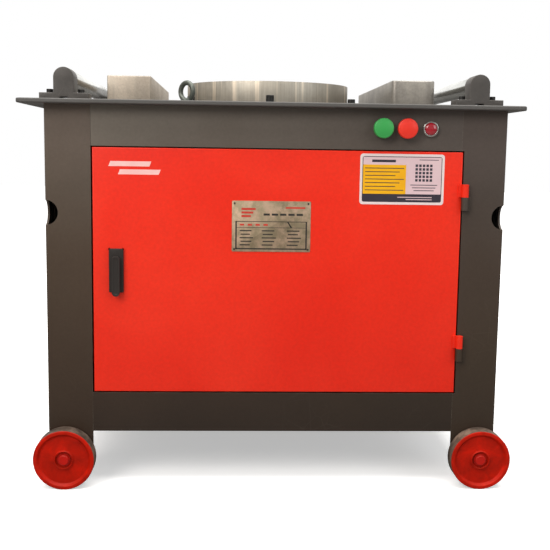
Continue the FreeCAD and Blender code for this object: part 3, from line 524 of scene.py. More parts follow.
def makeTurnedSteel():  # lathe rings on the faces, level cutter lines round the rim
    look = {"colour": tint(180, 172, 159), "second": tint(154, 150, 140), "ring": 1500.0, "chatter": 9.0,
            "paintedHighlight": tint(222, 208, 188), "paintedHighlightScale": 13.0, "lines": 60.0,
            "top": tint(142, 143, 143), "topSecond": tint(118, 119, 120), "cut": 420.0}
    finish, tree, shader = newMaterial("turnedSteel")
    spot = here(tree)
    parts = apart(tree, spot)
    radius = calc(tree, "SQRT", calc(tree, "ADD", calc(tree, "MULTIPLY", parts["X"], parts["X"]),
                                     calc(tree, "MULTIPLY", parts["Y"], parts["Y"])))
    angle = calc(tree, "ARCTAN2", parts["Y"], parts["X"])
    across = calc(tree, "ADD", radius, parts["Z"])
    rings = calc(tree, "SINE", calc(tree, "MULTIPLY", across, look["ring"]))

    def wrapped(drawn):  # coordinates that follow the round of the disc
        turned = [calc(tree, "COSINE", angle), calc(tree, "SINE", angle), calc(tree, "MULTIPLY", across, drawn)]
        return put(tree, "ShaderNodeCombineXYZ", dict(enumerate(turned))).outputs[0]

    chatter = noise(tree, wrapped(1.5), look["chatter"], 4.0, 0.6)
    stain = stretch(tree, noise(tree, spot, 8.0, 6.0, 0.7), 0.35, 0.7)
    tone = mixColour(tree, stain, look["colour"], look["second"])
    level = facesUp(tree)
    tone = mixColour(tree, level, tone, mixColour(tree, stain, look["top"], look["topSecond"]))
    upright = wrapped(0.1)
    # bright warm upright streaks round the rim: painted highlights of the turned metal, kept off the level
    # faces
    paintedHighlight = stretch(tree, noise(tree, upright, look["paintedHighlightScale"], 1.0, 0.4), 0.60, 0.68, 0.0, 0.6)
    paintedHighlight = calc(tree, "MULTIPLY", paintedHighlight, calc(tree, "SUBTRACT", 1.0, level))
    tone = mixColour(tree, paintedHighlight, tone, look["paintedHighlight"])
    streak = stretch(tree, noise(tree, upright, look["lines"], 3.0, 0.65), 0.35, 0.65, 0.90, 1.10)
    streak = calc(tree, "MULTIPLY", streak, stretch(tree, chatter, 0.36, 0.66, 0.92, 1.1))
    fromCentre = put(tree, "ShaderNodeCombineXYZ", {0: radius}).outputs[0]
    fine = stretch(tree, noise(tree, fromCentre, look["cut"], 3.0, 0.7), 0.3, 0.7, 0.88, 1.1)
    streak = put(tree, "ShaderNodeMix", {0: level, 2: streak, 3: fine}).outputs[0]
    tone = shaded(tree, tone, streak)
    worn = use(tree, "edgeWear", Reach=0.0015, Amount=0.8)["Mask"]
    tone = mixColour(tree, worn, tone, tint(214, 208, 198))
    height = calc(tree, "ADD", calc(tree, "MULTIPLY", rings, 0.3), chatter)
    wire(tree, shader, tone, stretch(tree, chatter, 0.3, 0.7, 0.44, 0.6), height, 0.06, 0.0003)
    shader["Metallic"].default_value = 0.8
    return finish


def makePlastic(name, look):
    finish, tree, shader = newMaterial(name)
    spot = place(tree)
    grain = noise(tree, spot, look["grain"], 2.0)
    patches = stretch(tree, noise(tree, spot, 26.0, 5.0, 0.65), 0.3, 0.7)
    tone = mixColour(tree, patches, look["colour"], look["second"])
    worn = use(tree, "edgeWear", Reach=0.001, Amount=look["wear"])["Mask"]
    tone = mixColour(tree, worn, tone, look["light"])
    wire(tree, shader, tone, stretch(tree, patches, 0.0, 1.0, *look["rough"]), grain, look["bump"], 0.0002)
    shader["Specular IOR Level"].default_value = look.get("specular", 0.5)
    shader["Coat Weight"].default_value = look.get("coat", 0.0)
    shader["Coat Roughness"].default_value = 0.08
    return finish


turnedSteel = makeTurnedSteel()
buttonSkin = {"grain": 500.0, "bump": 0.06, "rough": (0.3, 0.42), "wear": 0.5}
inkSkin = {"grain": 900.0, "bump": 0.1, "rough": (0.5, 0.62), "wear": 0.0, "specular": 0.3}
labelSkin = {"grain": 300.0, "bump": 0.08, "rough": (0.3, 0.4), "wear": 0.0}
blackPlastic = makePlastic("blackPlastic", {
    "colour": tint(45, 40, 37), "second": tint(38, 34, 31), "light": tint(64, 58, 54), "grain": 900.0,
    "bump": 0.35, "rough": (0.4, 0.56), "wear": 0.35, "specular": 0.36})
greenPlastic = makePlastic("greenPlastic", {
    **buttonSkin, "colour": tint(58, 166, 82), "second": tint(52, 156, 76), "light": tint(120, 200, 134)})
redPlastic = makePlastic("redPlastic", {
    **buttonSkin, "colour": tint(238, 54, 36), "second": tint(228, 46, 30), "light": tint(250, 120, 98)})
lampRed = makePlastic("lampRed", {
    "colour": tint(178, 22, 42), "second": tint(150, 12, 30), "light": tint(220, 70, 80), "grain": 240.0,
    "bump": 0.25, "rough": (0.08, 0.2), "wear": 0.2, "coat": 0.8})
beltRubber = makePlastic("beltRubber", {
    "colour": tint(38, 37, 36), "second": tint(50, 48, 46), "light": tint(74, 70, 66), "grain": 700.0,
    "bump": 0.6, "rough": (0.7, 0.85), "wear": 0.3, "specular": 0.3})
inkBlack = makePlastic("inkBlack", {
    **inkSkin, "colour": tint(42, 40, 38), "second": tint(54, 51, 48), "light": tint(60, 58, 55)})
inkRed = makePlastic("inkRed", {
    **inkSkin, "colour": tint(206, 52, 40), "second": tint(192, 60, 48), "light": tint(206, 52, 40)})
labelWhite = makePlastic("labelWhite", {
    **labelSkin, "colour": tint(238, 222, 220), "second": tint(228, 212, 212), "light": tint(245, 235, 232)})
labelRose = makePlastic("labelRose", {
    **labelSkin, "colour": tint(226, 198, 202), "second": tint(220, 190, 196), "light": tint(235, 215, 215)})
labelYellow = makePlastic("labelYellow", {
    **labelSkin, "colour": tint(246, 184, 10), "second": tint(238, 172, 8), "light": tint(250, 200, 60)})
labelDark = makePlastic("labelDark", {
    **labelSkin, "colour": tint(46, 42, 54), "second": tint(56, 52, 62), "light": tint(70, 66, 76)})
markPaint = makePlastic("markPaint", {
    "colour": tint(250, 206, 200), "second": tint(246, 190, 184), "light": tint(250, 220, 214),
    "grain": 300.0, "bump": 0.1, "rough": (0.4, 0.55), "wear": 0.0})


def makePlateMetal():  # brushed nameplate with soft light and dark bands across it
    look = {"colour": tint(184, 168, 138), "second": tint(148, 134, 108), "rim": tint(212, 182, 156),
            "bands": 17.0}
    finish, tree, shader = newMaterial("plateMetal")
    brushed = noise(tree, place(tree, (1.0, 1.0, 30.0)), 900.0, 2.0, 0.6)
    bands = noise(tree, place(tree, (1.0, 5.0, 8.0)), look["bands"], 2.0, 0.5)
    tone = mixColour(tree, stretch(tree, bands, 0.36, 0.64), look["colour"], look["second"])
    shade = stretch(tree, brushed, 0.2, 0.8, 0.9, 1.08)
    tone = shaded(tree, tone, shade)
    rim = use(tree, "edgeWear", Reach=0.004, Amount=0.9)["Mask"]
    tone = mixColour(tree, rim, tone, look["rim"])
    wire(tree, shader, tone, stretch(tree, bands, 0.3, 0.7, 0.34, 0.5), brushed, 0.12, 0.0002)
    shader["Metallic"].default_value = 0.8
    return finish


plateMetal = makePlateMetal()
print("finishes ready")

axlePaint = paintFinish("axlePaint", {  # frame colour, with the axle ends brushed red with their wheels
    "colour": tint(194, 16, 3), "second": tint(170, 13, 3), "patch": 22.0, "peel": 1.5,
    "rough": (0.36, 0.56), "dust": 0.2, "dustColour": tint(150, 110, 92), "wear": 0.5,
    "bare": tint(140, 90, 72), "scratch": 0.2, "mark": tint(110, 20, 10), "bump": 0.3, "specular": 0.25,
    "inner": tint(50, 40, 33), "innerFrom": 0.378})

# CAD nodes whose shape is right keep it, and get their finish here
kept = {
    tablePaint: ["table_plate"],
    framePaint: ["top_beam_front", "bottom_beam_front", "side_panel_left", "side_panel_right",
                 "rear_panel", "base_deck", "motor_bracket"],
    postPaint: ["post_front_left", "post_front_right", "post_rear_left", "post_rear_right",
                "hinge_frame_halves"],
    axlePaint: ["wheel_axles"],
    doorPaint: ["hinge_door_halves"],
    castIron: ["gearbox_housing", "gearbox_cover", "driven_pulley", "drive_pulley"],
    gearSteel: ["main_gear", "mid_gear", "mid_shaft", "input_shaft", "shaft_bearings"],
    rollerSteel: ["main_shaft", "motor_shaft", "roller_shafts"],
    blackScrew: ["table_cap_screws", "pillow_block_bolts", "gearbox_bolts", "rear_panel_screws"],
    blackPlastic: ["lock_spindle", "contact_blocks", "power_gland"],
    motorPaint: ["motor_body"],
    boxPaint: ["control_box"],
    beltRubber: ["v_belts"],
}
for finish, names in kept.items():
    for name in names:
        for materialSlot in nodes[name].material_slots:
            materialSlot.material = finish
print("CAD nodes finished")


# wheels: turned rim, thin web and hub, bored for the axle
wheelLook = {"around": 128, "axle": 0.01006, "rimRound": 0.0022, "treadFrom": 0.0606,
             "front": [(0.0540, 0.0), (0.0525, 0.0012), (0.0512, 0.0040), (0.0490, 0.0056), (0.0360, 0.0050),
                       (0.0215, 0.0058), (0.0196, 0.0052), (0.0190, 0.0028), (0.0184, 0.0022),
                       (0.0175, 0.0023), (0.0170, 0.0034), (0.0167, 0.0079)],
             "back": [(0.0520, 0.0), (0.0500, 0.0225), (0.0202, 0.0225), (0.0200, 0.0)]}


def turnProfile(piece, test, start, section):  # section: (radius, depth under the face) from the rim inwards
    moves, radius, depth = [], start, 0.0
    for nextRadius, nextDepth in section:
        moves.append((radius - nextRadius, depth - nextDepth))
        radius, depth = nextRadius, nextDepth
    step(piece, test, moves)


def makeWheel(name, node):
    low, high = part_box(node)
    middle, radius = (low + high) / 2, (high.z - low.z) / 2
    outward = -1 if middle.y < 0 else 1
    wheel = newRod(name, middle, "y", radius, high.y - low.y, wheelLook["around"])
    for way, section in ((outward, wheelLook["front"]), (-outward, wheelLook["back"])):
        turnProfile(wheel, facing((0, way, 0)), radius, section + [(wheelLook["axle"], section[-1][1])])
    boreThrough(wheel, lambda face: len(face.verts) == wheelLook["around"])

    def fromAxle(point):
        return math.hypot(point.x - middle.x, point.z - middle.z)

    def onRim(edge):
        return not spans(1, 1e-6)(edge) and all(fromAxle(vert.co) > radius - 1e-4 for vert in edge.verts)

    bevelPicked(wheel, onRim, wheelLook["rimRound"], 4)
    smooth(wheel, 30)
    wheel.data.materials.append(wheelPaint)
    paintFaces(wheel, wornIron, lambda face: fromAxle(face.calc_center_median()) > wheelLook["treadFrom"])
    return wheel


for end in ("front", "rear"):
    for side in ("left", "right"):
        node = "wheel_%s_%s" % (end, side)
        enlist(makeWheel(node + "_turned", node), wheelPaint, node + "_body", "wheel_paint", node)
print("wheels made")


# turntable disc
discLook = {"around": 192, "ringHoles": 8, "ringCircle": 0.132, "holeRadius": 0.018, "holeMiddle": 0.81,
            "centreRadius": 0.025, "centreFloor": 0.792, "underside": 0.784, "hubRadius": 0.055,
            "shaftRadius": 0.03003, "shaftTop": 0.790, "edge": 0.0012}
low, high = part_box("turntable_disc")
discLow = discLook["underside"]
disc = newRod("turntable_disc_turned", (0, 0, (discLow + high.z) / 2), "z", high.x, high.z - discLow,
              discLook["around"])
step(disc, facing((0, 0, -1), -discLow), [(high.x - discLook["hubRadius"], 0.0)])
pull(disc, lambda face: face.normal.z < -0.99 and face.calc_center_median().xy.length < 0.001,
     (0, 0, low.z - discLow))
tools = [newRod("tool", (0, 0, discLook["centreFloor"] + 0.05), "z", discLook["centreRadius"], 0.1, 72),
         newRod("tool", (0, 0, discLook["shaftTop"] - 0.05), "z", discLook["shaftRadius"], 0.1, 72)]
for number in range(discLook["ringHoles"]):
    turn = 2 * math.pi * number / discLook["ringHoles"]
    spot = discLook["ringCircle"] * Vector((math.cos(turn), math.sin(turn)))
    tools.append(newRod("tool", (*spot, discLook["holeMiddle"]), "z", discLook["holeRadius"], 0.1, 56))
cut(disc, tools)
roundEdges(disc, discLook["edge"], 2, 50)
smooth(disc)
enlist(disc, turnedSteel, "turntable", "machined_steel", "turntable_disc")
print("disc made")

# seat blocks
blockLook = {"corner": {"left": 0.004, "right": 0.009}, "top": 0.0025, "holes": 7, "pitch": 0.072,
             "holeRadius": 0.0175, "sinkRadius": 0.009, "sinkDepth": 0.014, "screwX": 0.028, "screwY": 0.252,
             "screwHole": 0.0053, "edge": 0.0007}
for side in ("left", "right"):
    node = "seat_block_" + side
    low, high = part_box(node)
    middle = (low + high) / 2
    block = newBox(node + "_ground", low, high)
    bevelPicked(block, spans(2, 0.01), blockLook["corner"][side], 8)
    bevelPicked(block, atLevel(2, high.z), blockLook["top"], 4)
    tools = []
    for number in range(blockLook["holes"]):
        y = (number - (blockLook["holes"] - 1) / 2) * blockLook["pitch"]
        tools.append(newRod("tool", (middle.x, y, middle.z), "z", blockLook["holeRadius"], 0.1, 56))
    for sx in (-1, 1):
        for sy in (-1, 1):
            spot = (middle.x + sx * blockLook["screwX"], sy * blockLook["screwY"])
            tools.append(newRod("tool", (*spot, high.z), "z", blockLook["sinkRadius"],
                                2 * blockLook["sinkDepth"], 40))
            tools.append(newRod("tool", (*spot, middle.z), "z", blockLook["screwHole"], 0.1, 32))
    cut(block, tools)
    roundEdges(block, blockLook["edge"], 2, 50)
    smooth(block)
    # the left block gets the copy with painted light, the right block the copy with painted shade
    enlist(block, blockSteelPaintedLight if side == "left" else blockSteelPaintedShade, "cabinet", "machined_steel", node)
print("seat blocks made")

# side rollers
rollerLook = {"around": 96, "lip": 0.0035, "recess": 0.0015, "bore": 0.00805, "edge": 0.0009}
for side in ("left", "right"):
    node = "roller_" + side
    low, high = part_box(node)
    middle, radius = (low + high) / 2, (high.z - low.z) / 2
    tube = newRod(node + "_tube", middle, "y", radius, high.y - low.y, rollerLook["around"])
    inner = radius - rollerLook["lip"]
    for way in (-1, 1):
        step(tube, facing((0, way, 0), high.y), [(rollerLook["lip"], 0.0), (0.0002, -rollerLook["recess"]),
                                                 (inner - 0.0002 - rollerLook["bore"], 0.0)])
    boreThrough(tube, lambda face: abs(face.normal.y) > 0.99 and len(face.verts) == rollerLook["around"])
    roundEdges(tube, rollerLook["edge"], 2, 50)
    smooth(tube)
    enlist(tube, rollerSteel, node + "_body", "bright_steel", node)
print("rollers made")

# pillow blocks
pillowLook = {"arch": 0.020, "foot": 0.013, "sunk": 0.004, "slotHalf": 0.008, "slotHigh": 0.005,
              "boltX": 0.031, "boltHole": 0.0043, "shaft": 0.00805, "shaftDeep": 0.034, "edge": 0.0014}
for end in ("front", "rear"):
    for side in ("left", "right"):
        node = "pillow_block_%s_%s" % (end, side)
        low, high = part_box(node)
        middle = (low + high) / 2
        axis = high.z - pillowLook["arch"]
        body = newRod(node + "_cast", (middle.x, middle.y, axis), "y", pillowLook["arch"], high.y - low.y, 72)
        halve(body, (middle.x, middle.y, axis), clear_inner=True)
        pull(body, facing((0, 0, -1)), (0, 0, low.z + pillowLook["sunk"] - axis))
        foot = newBox("foot", low, (high.x, high.y, low.z + pillowLook["foot"]))
        cut(body, [foot], "UNION")
        inward = -1 if middle.y > 0 else 1
        face = middle.y + inward * (high.y - low.y) / 2
        tools = [newBox("tool", (middle.x - pillowLook["slotHalf"], low.y - 0.01, low.z - 0.01),
                        (middle.x + pillowLook["slotHalf"], high.y + 0.01, low.z + pillowLook["slotHigh"])),
                 newRod("tool", (middle.x, face, axis), "y", pillowLook["shaft"],
                        2 * pillowLook["shaftDeep"], 40)]
        for way in (-1, 1):
            tools.append(newRod("tool", (middle.x + way * pillowLook["boltX"], middle.y, low.z), "z",
                                pillowLook["boltHole"], 0.06, 28))
        cut(body, tools)
        roundEdges(body, pillowLook["edge"], 3, 50)
        smooth(body)
        enlist(body, pillowPaint, "cabinet", "frame_paint", node)
print("pillow blocks made")

# lifting eye: a forged ring on a round foot, screwed into the table
eyeLook = {"spot": (-0.175, -0.300), "turn": math.radians(43.0), "ring": 0.0175, "bar": 0.005, "foot": 0.0125,
           "footHigh": 0.008, "footEdge": 0.002, "shank": 0.005, "edge": 0.0008}
low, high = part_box("lifting_eye")
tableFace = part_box("table_plate")[1].z
bpy.ops.mesh.primitive_torus_add(major_segments=72, minor_segments=28, major_radius=eyeLook["ring"],
                                 minor_radius=eyeLook["bar"], rotation=(math.pi / 2, 0, -eyeLook["turn"]),
                                 location=(*eyeLook["spot"], high.z - eyeLook["ring"] - eyeLook["bar"]))
eye = settle("lifting_eye_forged")
foot = newRod("foot", (*eyeLook["spot"], tableFace + eyeLook["footHigh"] / 2), "z", eyeLook["foot"],
              eyeLook["footHigh"], 64)
bevelPicked(foot, atLevel(2, tableFace + eyeLook["footHigh"]), eyeLook["footEdge"], 4)
shank = newRod("shank", (*eyeLook["spot"], (low.z + tableFace) / 2 + 0.001), "z", eyeLook["shank"],
               tableFace - low.z + 0.002, 32)
cut(eye, [foot, shank], "UNION")
roundEdges(eye, eyeLook["edge"], 3, 40)
smooth(eye)
enlist(eye, eyeSteel, "cabinet", "dark_steel", "lifting_eye")
print("lifting eye made")

# door
doorLook = {"sheet": 0.002, "edge": 0.0018, "spindle": 0.00705, "spindleHigh": 0.468}
low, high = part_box("door_panel")
lockLow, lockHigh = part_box("lock_plate")
lockX = (lockLow.x + lockHigh.x) / 2
lockZ = doorLook["spindleHigh"]
door = newBox("door_pan", low, high)
edit(door, facing((0, 1, 0)))
bpy.ops.mesh.delete(type="FACE")
done()
bevelPicked(door, atLevel(1, low.y), doorLook["edge"], 4)
apply(door, "SOLIDIFY", thickness=doorLook["sheet"], offset=-1.0, use_even_offset=True)
cut(door, [newRod("tool", (lockX, low.y, lockZ), "y", doorLook["spindle"], 0.02, 40)])
smooth(door)
enlist(door, doorPaint, "door", "door_paint", "door_panel")
print("door made")

# folded stop behind the hinge side of the door, which keeps daylight out of the gap
stopLook = {"left": 0.3725, "right": 0.3872, "front": -0.3658, "sheet": 0.0035, "behind": 0.0012,
            "low": 0.1935, "high": 0.6875, "edge": 0.0008}
backOfDoor = high.y + stopLook["behind"]
stop = newBox("door_stop", (stopLook["left"], backOfDoor, stopLook["low"]),
              (stopLook["right"], backOfDoor + stopLook["sheet"], stopLook["high"]))
flank = newBox("tool", (stopLook["right"] - stopLook["sheet"], stopLook["front"], stopLook["low"]),
               (stopLook["right"], backOfDoor + stopLook["sheet"], stopLook["high"]))
cut(stop, [flank], "UNION")
roundEdges(stop, stopLook["edge"], 2, 50)
smooth(stop)
enlist(stop, framePaint, "cabinet", "frame_paint")

# lock
lockLook = {"corner": 0.0016, "rim": 0.0009, "slim": 0.88, "end": 0.0068, "thumb": 0.0028, "pin": 0.0015,
            "pinLong": 0.014, "pinFace": -0.3805, "slotHalf": 0.005, "edge": 0.0009}
base = newBox("lock_plate_moulded", lockLow, lockHigh)
cut(base, [newRod("tool", (lockX, lockLow.y, lockZ), "y", doorLook["spindle"], 0.03, 40)])


def offSpindle(edge):
    return all(math.hypot(vert.co.x - lockX, vert.co.z - lockZ) > 0.01 for vert in edge.verts)


bevelPicked(base, lambda edge: spans(1, 0.001)(edge) and offSpindle(edge), lockLook["corner"], 4)
bevelPicked(base, lambda edge: atLevel(1, lockLow.y)(edge) and offSpindle(edge), lockLook["rim"], 3)
smooth(base)
enlist(base, blackPlastic, "door", "black_plastic", "lock_plate")
low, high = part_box("lock_lever")
half = lockLook["slim"] * (high.x - low.x) / 2
middle = (low + high) / 2
lever = newRod("lock_lever_moulded", (lockX, middle.y, low.z + half), "y", half, high.y - low.y, 64)
halve(lever, (lockX, middle.y, low.z + half), clear_outer=True)
pull(lever, facing((0, 0, 1)), (0, 0, high.z - low.z - half))
bevelPicked(lever, lambda edge: spans(1, 0.001)(edge) and edge.verts[0].co.z > high.z - 0.001,
            lockLook["end"], 8)
step(lever, facing((0, -1, 0), -low.y), [(0.0008, 0.0), (lockLook["thumb"], 0.0), (0.0009, -0.0008)])
cut(lever, [newBox("tool", (lockX - lockLook["slotHalf"], low.y + 0.0015, lockZ - 0.008),
                   (lockX + lockLook["slotHalf"], high.y + 0.001, lockZ + 0.006))])
pinRod = newRod("pin", (lockX, lockLook["pinFace"], lockZ), "x", lockLook["pin"], lockLook["pinLong"], 24)
roundEdges(lever, lockLook["edge"], 3, 40)
smooth(lever)
lever = mergeAll("lock_lever_moulded", [lever, pinRod])
enlist(lever, blackPlastic, "lock_handle", "black_plastic", "lock_lever")
print("lock made")

# nameplate with plain ruled lines
plateLook = {"rivetProud": 0.001, "corner": 0.0022, "edge": 0.0002, "rivetIn": 0.005, "rivet": 0.0020}
low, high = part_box("nameplate")
plateFace = low.y + plateLook["rivetProud"]
plate = newBox("nameplate_metal", (low.x, plateFace, low.z), high)
bevelPicked(plate, spans(1, 0.0005), plateLook["corner"], 4)
roundEdges(plate, plateLook["edge"], 2, 60)
smooth(plate)
enlist(plate, plateMetal, "door", "plate_metal", "nameplate")
wide, tall = high.x - low.x, high.z - low.z


def inkBar(left, right, top, bottom):  # shares of the plate, from its upper left corner
    return newBox("ink", (low.x + left * wide, plateFace - 0.00015, high.z - bottom * tall),
                  (low.x + right * wide, plateFace + 0.0001, high.z - top * tall))


ruled = [inkBar(0.045, 0.063, 0.40, 0.955), inkBar(0.937, 0.955, 0.40, 0.955),
         inkBar(0.045, 0.955, 0.40, 0.412), inkBar(0.045, 0.955, 0.930, 0.955),
         inkBar(0.063, 0.937, 0.520, 0.528)]
for row in range(5):
    top = 0.575 + 0.07 * row
    for left, right in ((0.10, 0.27), (0.38, 0.56), (0.70, 0.88)):
        ruled.append(inkBar(left + 0.012 * (row % 2), right - 0.02 * ((row + 1) % 3), top, top + 0.022))
for number in range(5):
    ruled.append(inkBar(0.40 + 0.105 * number, 0.48 + 0.105 * number, 0.245, 0.285))
slant = inkBar(0.70, 0.72, 0.412, 0.520)
slide(slant, facing((0, 0, -1)), (0.045 * wide, 0, 0))
ruled.append(slant)
ink = mergeAll("nameplate_lines", ruled)
enlist(ink, inkBlack, "door", "plate_metal")
accents = [inkBar(0.68, 0.93, 0.115, 0.145)]
for number in range(4):
    accents.append(inkBar(0.10 + 0.10 * number, 0.155 + 0.10 * number, 0.452, 0.486))
for number in range(3):
    accents.append(inkBar(0.12, 0.30 - 0.03 * number, 0.14 + 0.07 * number, 0.18 + 0.07 * number))
accent = mergeAll("nameplate_accents", accents)
enlist(accent, inkRed, "door", "plate_metal")
rivets = []
for x in (low.x + plateLook["rivetIn"], high.x - plateLook["rivetIn"]):
    for z in (low.z + plateLook["rivetIn"], high.z - plateLook["rivetIn"]):
        rivet = newRod("rivet", (x, plateFace - 0.0003, z), "y", plateLook["rivet"], 0.0008, 24)
        step(rivet, facing((0, -1, 0)), [(0.0006, 0.0002), (0.0008, 0.0001)])
        smooth(rivet)
        rivets.append(rivet)
enlist(mergeAll("nameplate_rivets", rivets), blackScrew, "door", "plate_metal")
print("nameplate made")

# plain sticker: coloured panels and lines, no lettering
low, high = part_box("warning_label")
wide, tall = high.x - low.x, high.z - low.z


def panel(name, left, right, top, bottom, lift, corner):
    piece = newBox(name, (low.x + left * wide, low.y - lift, high.z - bottom * tall),
                   (low.x + right * wide, low.y - lift + 0.0003, high.z - top * tall))
    if corner:
        bevelPicked(piece, spans(1, 0.0001), corner, 5)
    return piece


def rule(left, right, top, bottom, lift=0.00016):  # a printed line
    return panel("line", left, right, top, bottom, lift, 0.0)


sticker = panel("sticker_sheet", 0.0, 1.0, 0.0, 1.0, 0.0, 0.006)
enlist(sticker, labelWhite, "door", "label_vinyl", "warning_label")
border = panel("sticker_border", 0.028, 0.972, 0.05, 0.95, 0.00005, 0.004)
enlist(border, labelDark, "door", "label_vinyl")
header = panel("sticker_header", 0.036, 0.545, 0.064, 0.215, 0.0001, 0.0008)
rose = panel("sticker_rose", 0.545, 0.964, 0.064, 0.79, 0.0001, 0.0008)
enlist(mergeAll("sticker_panels", [header, rose]), labelRose, "door", "label_vinyl")
enlist(panel("sticker_yellow", 0.036, 0.545, 0.215, 0.79, 0.0001, 0.0012), labelYellow, "door", "label_vinyl")
lines = [rule(0.14, 0.42, 0.115, 0.165), rule(0.70, 0.93, 0.105, 0.118)]
for row in range(7):
    lines.append(rule(0.06, 0.52 - 0.05 * (row % 3), 0.275 + 0.072 * row, 0.290 + 0.072 * row))
for row in range(3):
    lines.append(rule(0.60 + 0.02 * row, 0.92 - 0.02 * row, 0.60 + 0.055 * row, 0.615 + 0.055 * row))
for row in range(5):
    for column in range(5):
        left, top = 0.655 + 0.043 * column, 0.20 + 0.072 * row
        lines.append(rule(left, left + 0.030, top, top + 0.050))
enlist(mergeAll("sticker_lines", lines), labelDark, "door", "label_vinyl")
pale = [rule(0.45, 0.86, 0.845, 0.860, 0.00012), rule(0.55, 0.86, 0.890, 0.905, 0.00012)]
enlist(mergeAll("sticker_pale_lines", pale), labelRose, "door", "label_vinyl")

# two plain painted stripes in place of the painted mark
stripeLook = {"bars": ((-0.3257, -0.2450, 0.650), (-0.3070, -0.2266, 0.634)), "tall": 0.010, "lean": 0.004,
              "front": -0.37012, "back": -0.3699}
stripes = []
for left, right, bottom in stripeLook["bars"]:
    stripe = newBox("stripe", (left, stripeLook["front"], bottom),
                    (right, stripeLook["back"], bottom + stripeLook["tall"]))
    slide(stripe, facing((0, 0, 1)), (stripeLook["lean"], 0, 0))
    stripes.append(stripe)
enlist(mergeAll("door_stripes", stripes), markPaint, "door", "door_paint")
print("sticker and stripes made")

# push buttons, bezels and pilot lamp
buttonLook = {"head": 0.009, "edge": 0.0032, "stem": 0.007, "dish": 0.0004}
for node, finish, body, slotName in (("green_button", greenPlastic, "green_push", "green_plastic"),
                                     ("red_button", redPlastic, "red_push", "red_plastic")):
    low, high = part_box(node)
    middle, radius = (low + high) / 2, (high.x - low.x) / 2
    back = low.y + buttonLook["head"]
    button = newRod(node + "_moulded", (middle.x, (low.y + back) / 2, middle.z), "y", radius,
                    buttonLook["head"])
    bevelPicked(button, atLevel(1, low.y), buttonLook["edge"], 5)
    step(button, facing((0, -1, 0), -low.y), [(0.0012, 0.0), (0.0008, buttonLook["dish"])])
    step(button, facing((0, 1, 0), back), [(radius - buttonLook["stem"], 0.0)])
    pull(button, lambda face: face.normal.y > 0.99 and abs(face.calc_center_median().x - middle.x) < 0.0005
         and len(face.verts) > 20, (0, high.y - back, 0))
    smooth(button)
    enlist(button, finish, body, slotName, node)
bezelLook = {"row": 0.732, "face": -0.370, "edge": 0.0011, "rings": (
    (0.217, 0.017, 0.0075, 0.005), (0.265, 0.017, 0.0075, 0.005), (0.313, 0.0155, 0.012, 0.006))}
rings = []
for x, outer, inner, thick in bezelLook["rings"]:
    ring = newRod("ring", (x, bezelLook["face"] - thick / 2, bezelLook["row"]), "y", outer, thick, 72)
    for way, level in ((-1, thick - bezelLook["face"]), (1, bezelLook["face"])):
        step(ring, facing((0, way, 0), level), [(outer - inner, 0.0)])
    boreThrough(ring, lambda face: abs(face.normal.y) > 0.99 and len(face.verts) == 72)
    roundEdges(ring, bezelLook["edge"], 3, 50)
    smooth(ring)
    rings.append(ring)
enlist(mergeAll("control_bezels_turned", rings), chrome, "cabinet", "bezel_chrome", "control_bezels")
lensLook = {"dome": 0.004, "steps": [(0.0010, 0.0011), (0.0022, 0.0011), (0.0026, 0.0008), (0.0030, 0.0006),
                                     (0.0022, 0.0002)]}
low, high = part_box("lamp_lens")
middle, radius = (low + high) / 2, (high.x - low.x) / 2
collar = low.y + lensLook["dome"]
lens = newRod("lamp_lens_moulded", (middle.x, (collar + high.y) / 2, middle.z), "y", radius,
              high.y - collar, 72)
step(lens, facing((0, -1, 0), -collar), lensLook["steps"])
smooth(lens, 50)
enlist(lens, lampRed, "cabinet", "lamp_red", "lamp_lens")
print("controls made")

# stage: pale floor, white surround, soft lights
stageLook = {"size": 30.0, "floor": tint(250, 250, 250), "unseen": tint(140, 138, 136), "glow": 0.44,
             "world": 0.46}
clearPick()
bpy.ops.mesh.primitive_plane_add(size=stageLook["size"], location=(0, 0, 0))
floor = settle("studio_floor")
floorFinish, tree, shader = newMaterial("studioFloor")
sight = put(tree, "ShaderNodeLightPath").outputs["Is Camera Ray"]
far = put(tree, "ShaderNodeVectorMath", {0: put(tree, "ShaderNodeTexCoord").outputs["Object"]},
          operation="LENGTH").outputs["Value"]
# a faint glow keeps the shadow under the cabinet soft and pale
glow = calc(tree, "MULTIPLY", stretch(tree, far, 0.9, 2.6, stageLook["glow"], 1.0), sight)
glowColour = put(tree, "ShaderNodeCombineColor", {0: glow, 1: glow, 2: glow}).outputs[0]
link(tree, [(mixColour(tree, sight, stageLook["unseen"], stageLook["floor"]), shader["Base Color"]),
            (glowColour, shader["Emission Color"])])
shader["Emission Strength"].default_value = 1.0
shader["Roughness"].default_value = 0.9
shader["Specular IOR Level"].default_value = 0.0
floor.data.materials.append(floorFinish)

world = bpy.data.worlds.new("studioSurround")
bpy.context.scene.world = world
world.use_nodes = True
tree = world.node_tree
tree.nodes.clear()
sight = put(tree, "ShaderNodeLightPath").outputs["Is Camera Ray"]
seen = put(tree, "ShaderNodeBackground", {"Color": (1.0, 1.0, 1.0, 1.0), "Strength": 1.0}).outputs[0]
shining = put(tree, "ShaderNodeBackground", {"Color": (1.0, 0.97, 0.93, 1.0),
                                            "Strength": stageLook["world"]}).outputs[0]
both = put(tree, "ShaderNodeMixShader", {0: sight, 1: shining, 2: seen}).outputs[0]
tree.links.new(both, put(tree, "ShaderNodeOutputWorld").inputs["Surface"])


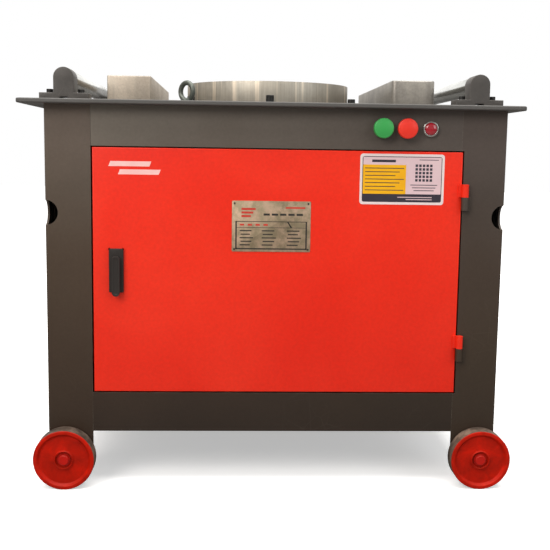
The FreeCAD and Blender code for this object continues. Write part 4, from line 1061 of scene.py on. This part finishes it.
def softBox(name, spot, aim, size, power, colour):
    light = bpy.data.lights.new(name, "AREA")
    light.shape = "RECTANGLE"
    light.size, light.size_y = size
    light.energy = power
    light.color = colour
    lamp = bpy.data.objects.new(name, light)
    bpy.context.scene.collection.objects.link(lamp)
    lamp.location = spot
    lamp.rotation_euler = (Vector(aim) - Vector(spot)).to_track_quat("-Z", "Y").to_euler()
    return lamp


softBox("overheadLight", (0.0, -0.4, 3.4), (0.0, 0.0, 0.5), (3.6, 3.0), 165.0, (1.0, 0.985, 0.96))
softBox("frontLeftLight", (-2.0, -3.0, 2.5), (0.0, -0.3, 0.6), (1.8, 1.8), 74.0, (1.0, 0.95, 0.9))
softBox("frontRightLight", (2.6, -2.4, 1.9), (0.1, -0.3, 0.55), (1.6, 1.6), 22.0, (0.95, 0.98, 1.0))
backCloth = softBox("backClothGlow", (0.0, 4.2, 2.3), (0.0, 0.0, 0.9), (7.0, 2.0), 40.0, (1.0, 0.99, 0.97))
backCloth.visible_camera = False  # a bright backdrop that only shows in polished steel
backCloth.visible_diffuse = False

# camera: low, close and a little to the left
cameraLook = {"spot": Vector((-0.0791, -2.2486, 0.6826)), "yaw": 0.0458, "pitch": 0.1304, "roll": 0.0150,
              "focal": 61.47, "sensor": 36.0}
yaw, pitch, roll = cameraLook["yaw"], cameraLook["pitch"], cameraLook["roll"]
forward = Vector((math.sin(yaw) * math.cos(pitch), math.cos(yaw) * math.cos(pitch), -math.sin(pitch)))
level = Vector((math.cos(yaw), -math.sin(yaw), 0.0))
upright = level.cross(forward)
right = math.cos(roll) * level + math.sin(roll) * upright
above = -math.sin(roll) * level + math.cos(roll) * upright
cameraData = bpy.data.cameras.new("workshopCamera")
cameraData.lens = cameraLook["focal"]
cameraData.sensor_width = cameraLook["sensor"]
camera = bpy.data.objects.new("workshopCamera", cameraData)
bpy.context.scene.collection.objects.link(camera)
turned = Matrix((right, above, -forward)).transposed().to_4x4()
camera.matrix_world = Matrix.Translation(cameraLook["spot"]) @ turned
bpy.context.scene.camera = camera
bpy.context.scene.view_settings.view_transform = "Standard"
print("stage and camera ready")
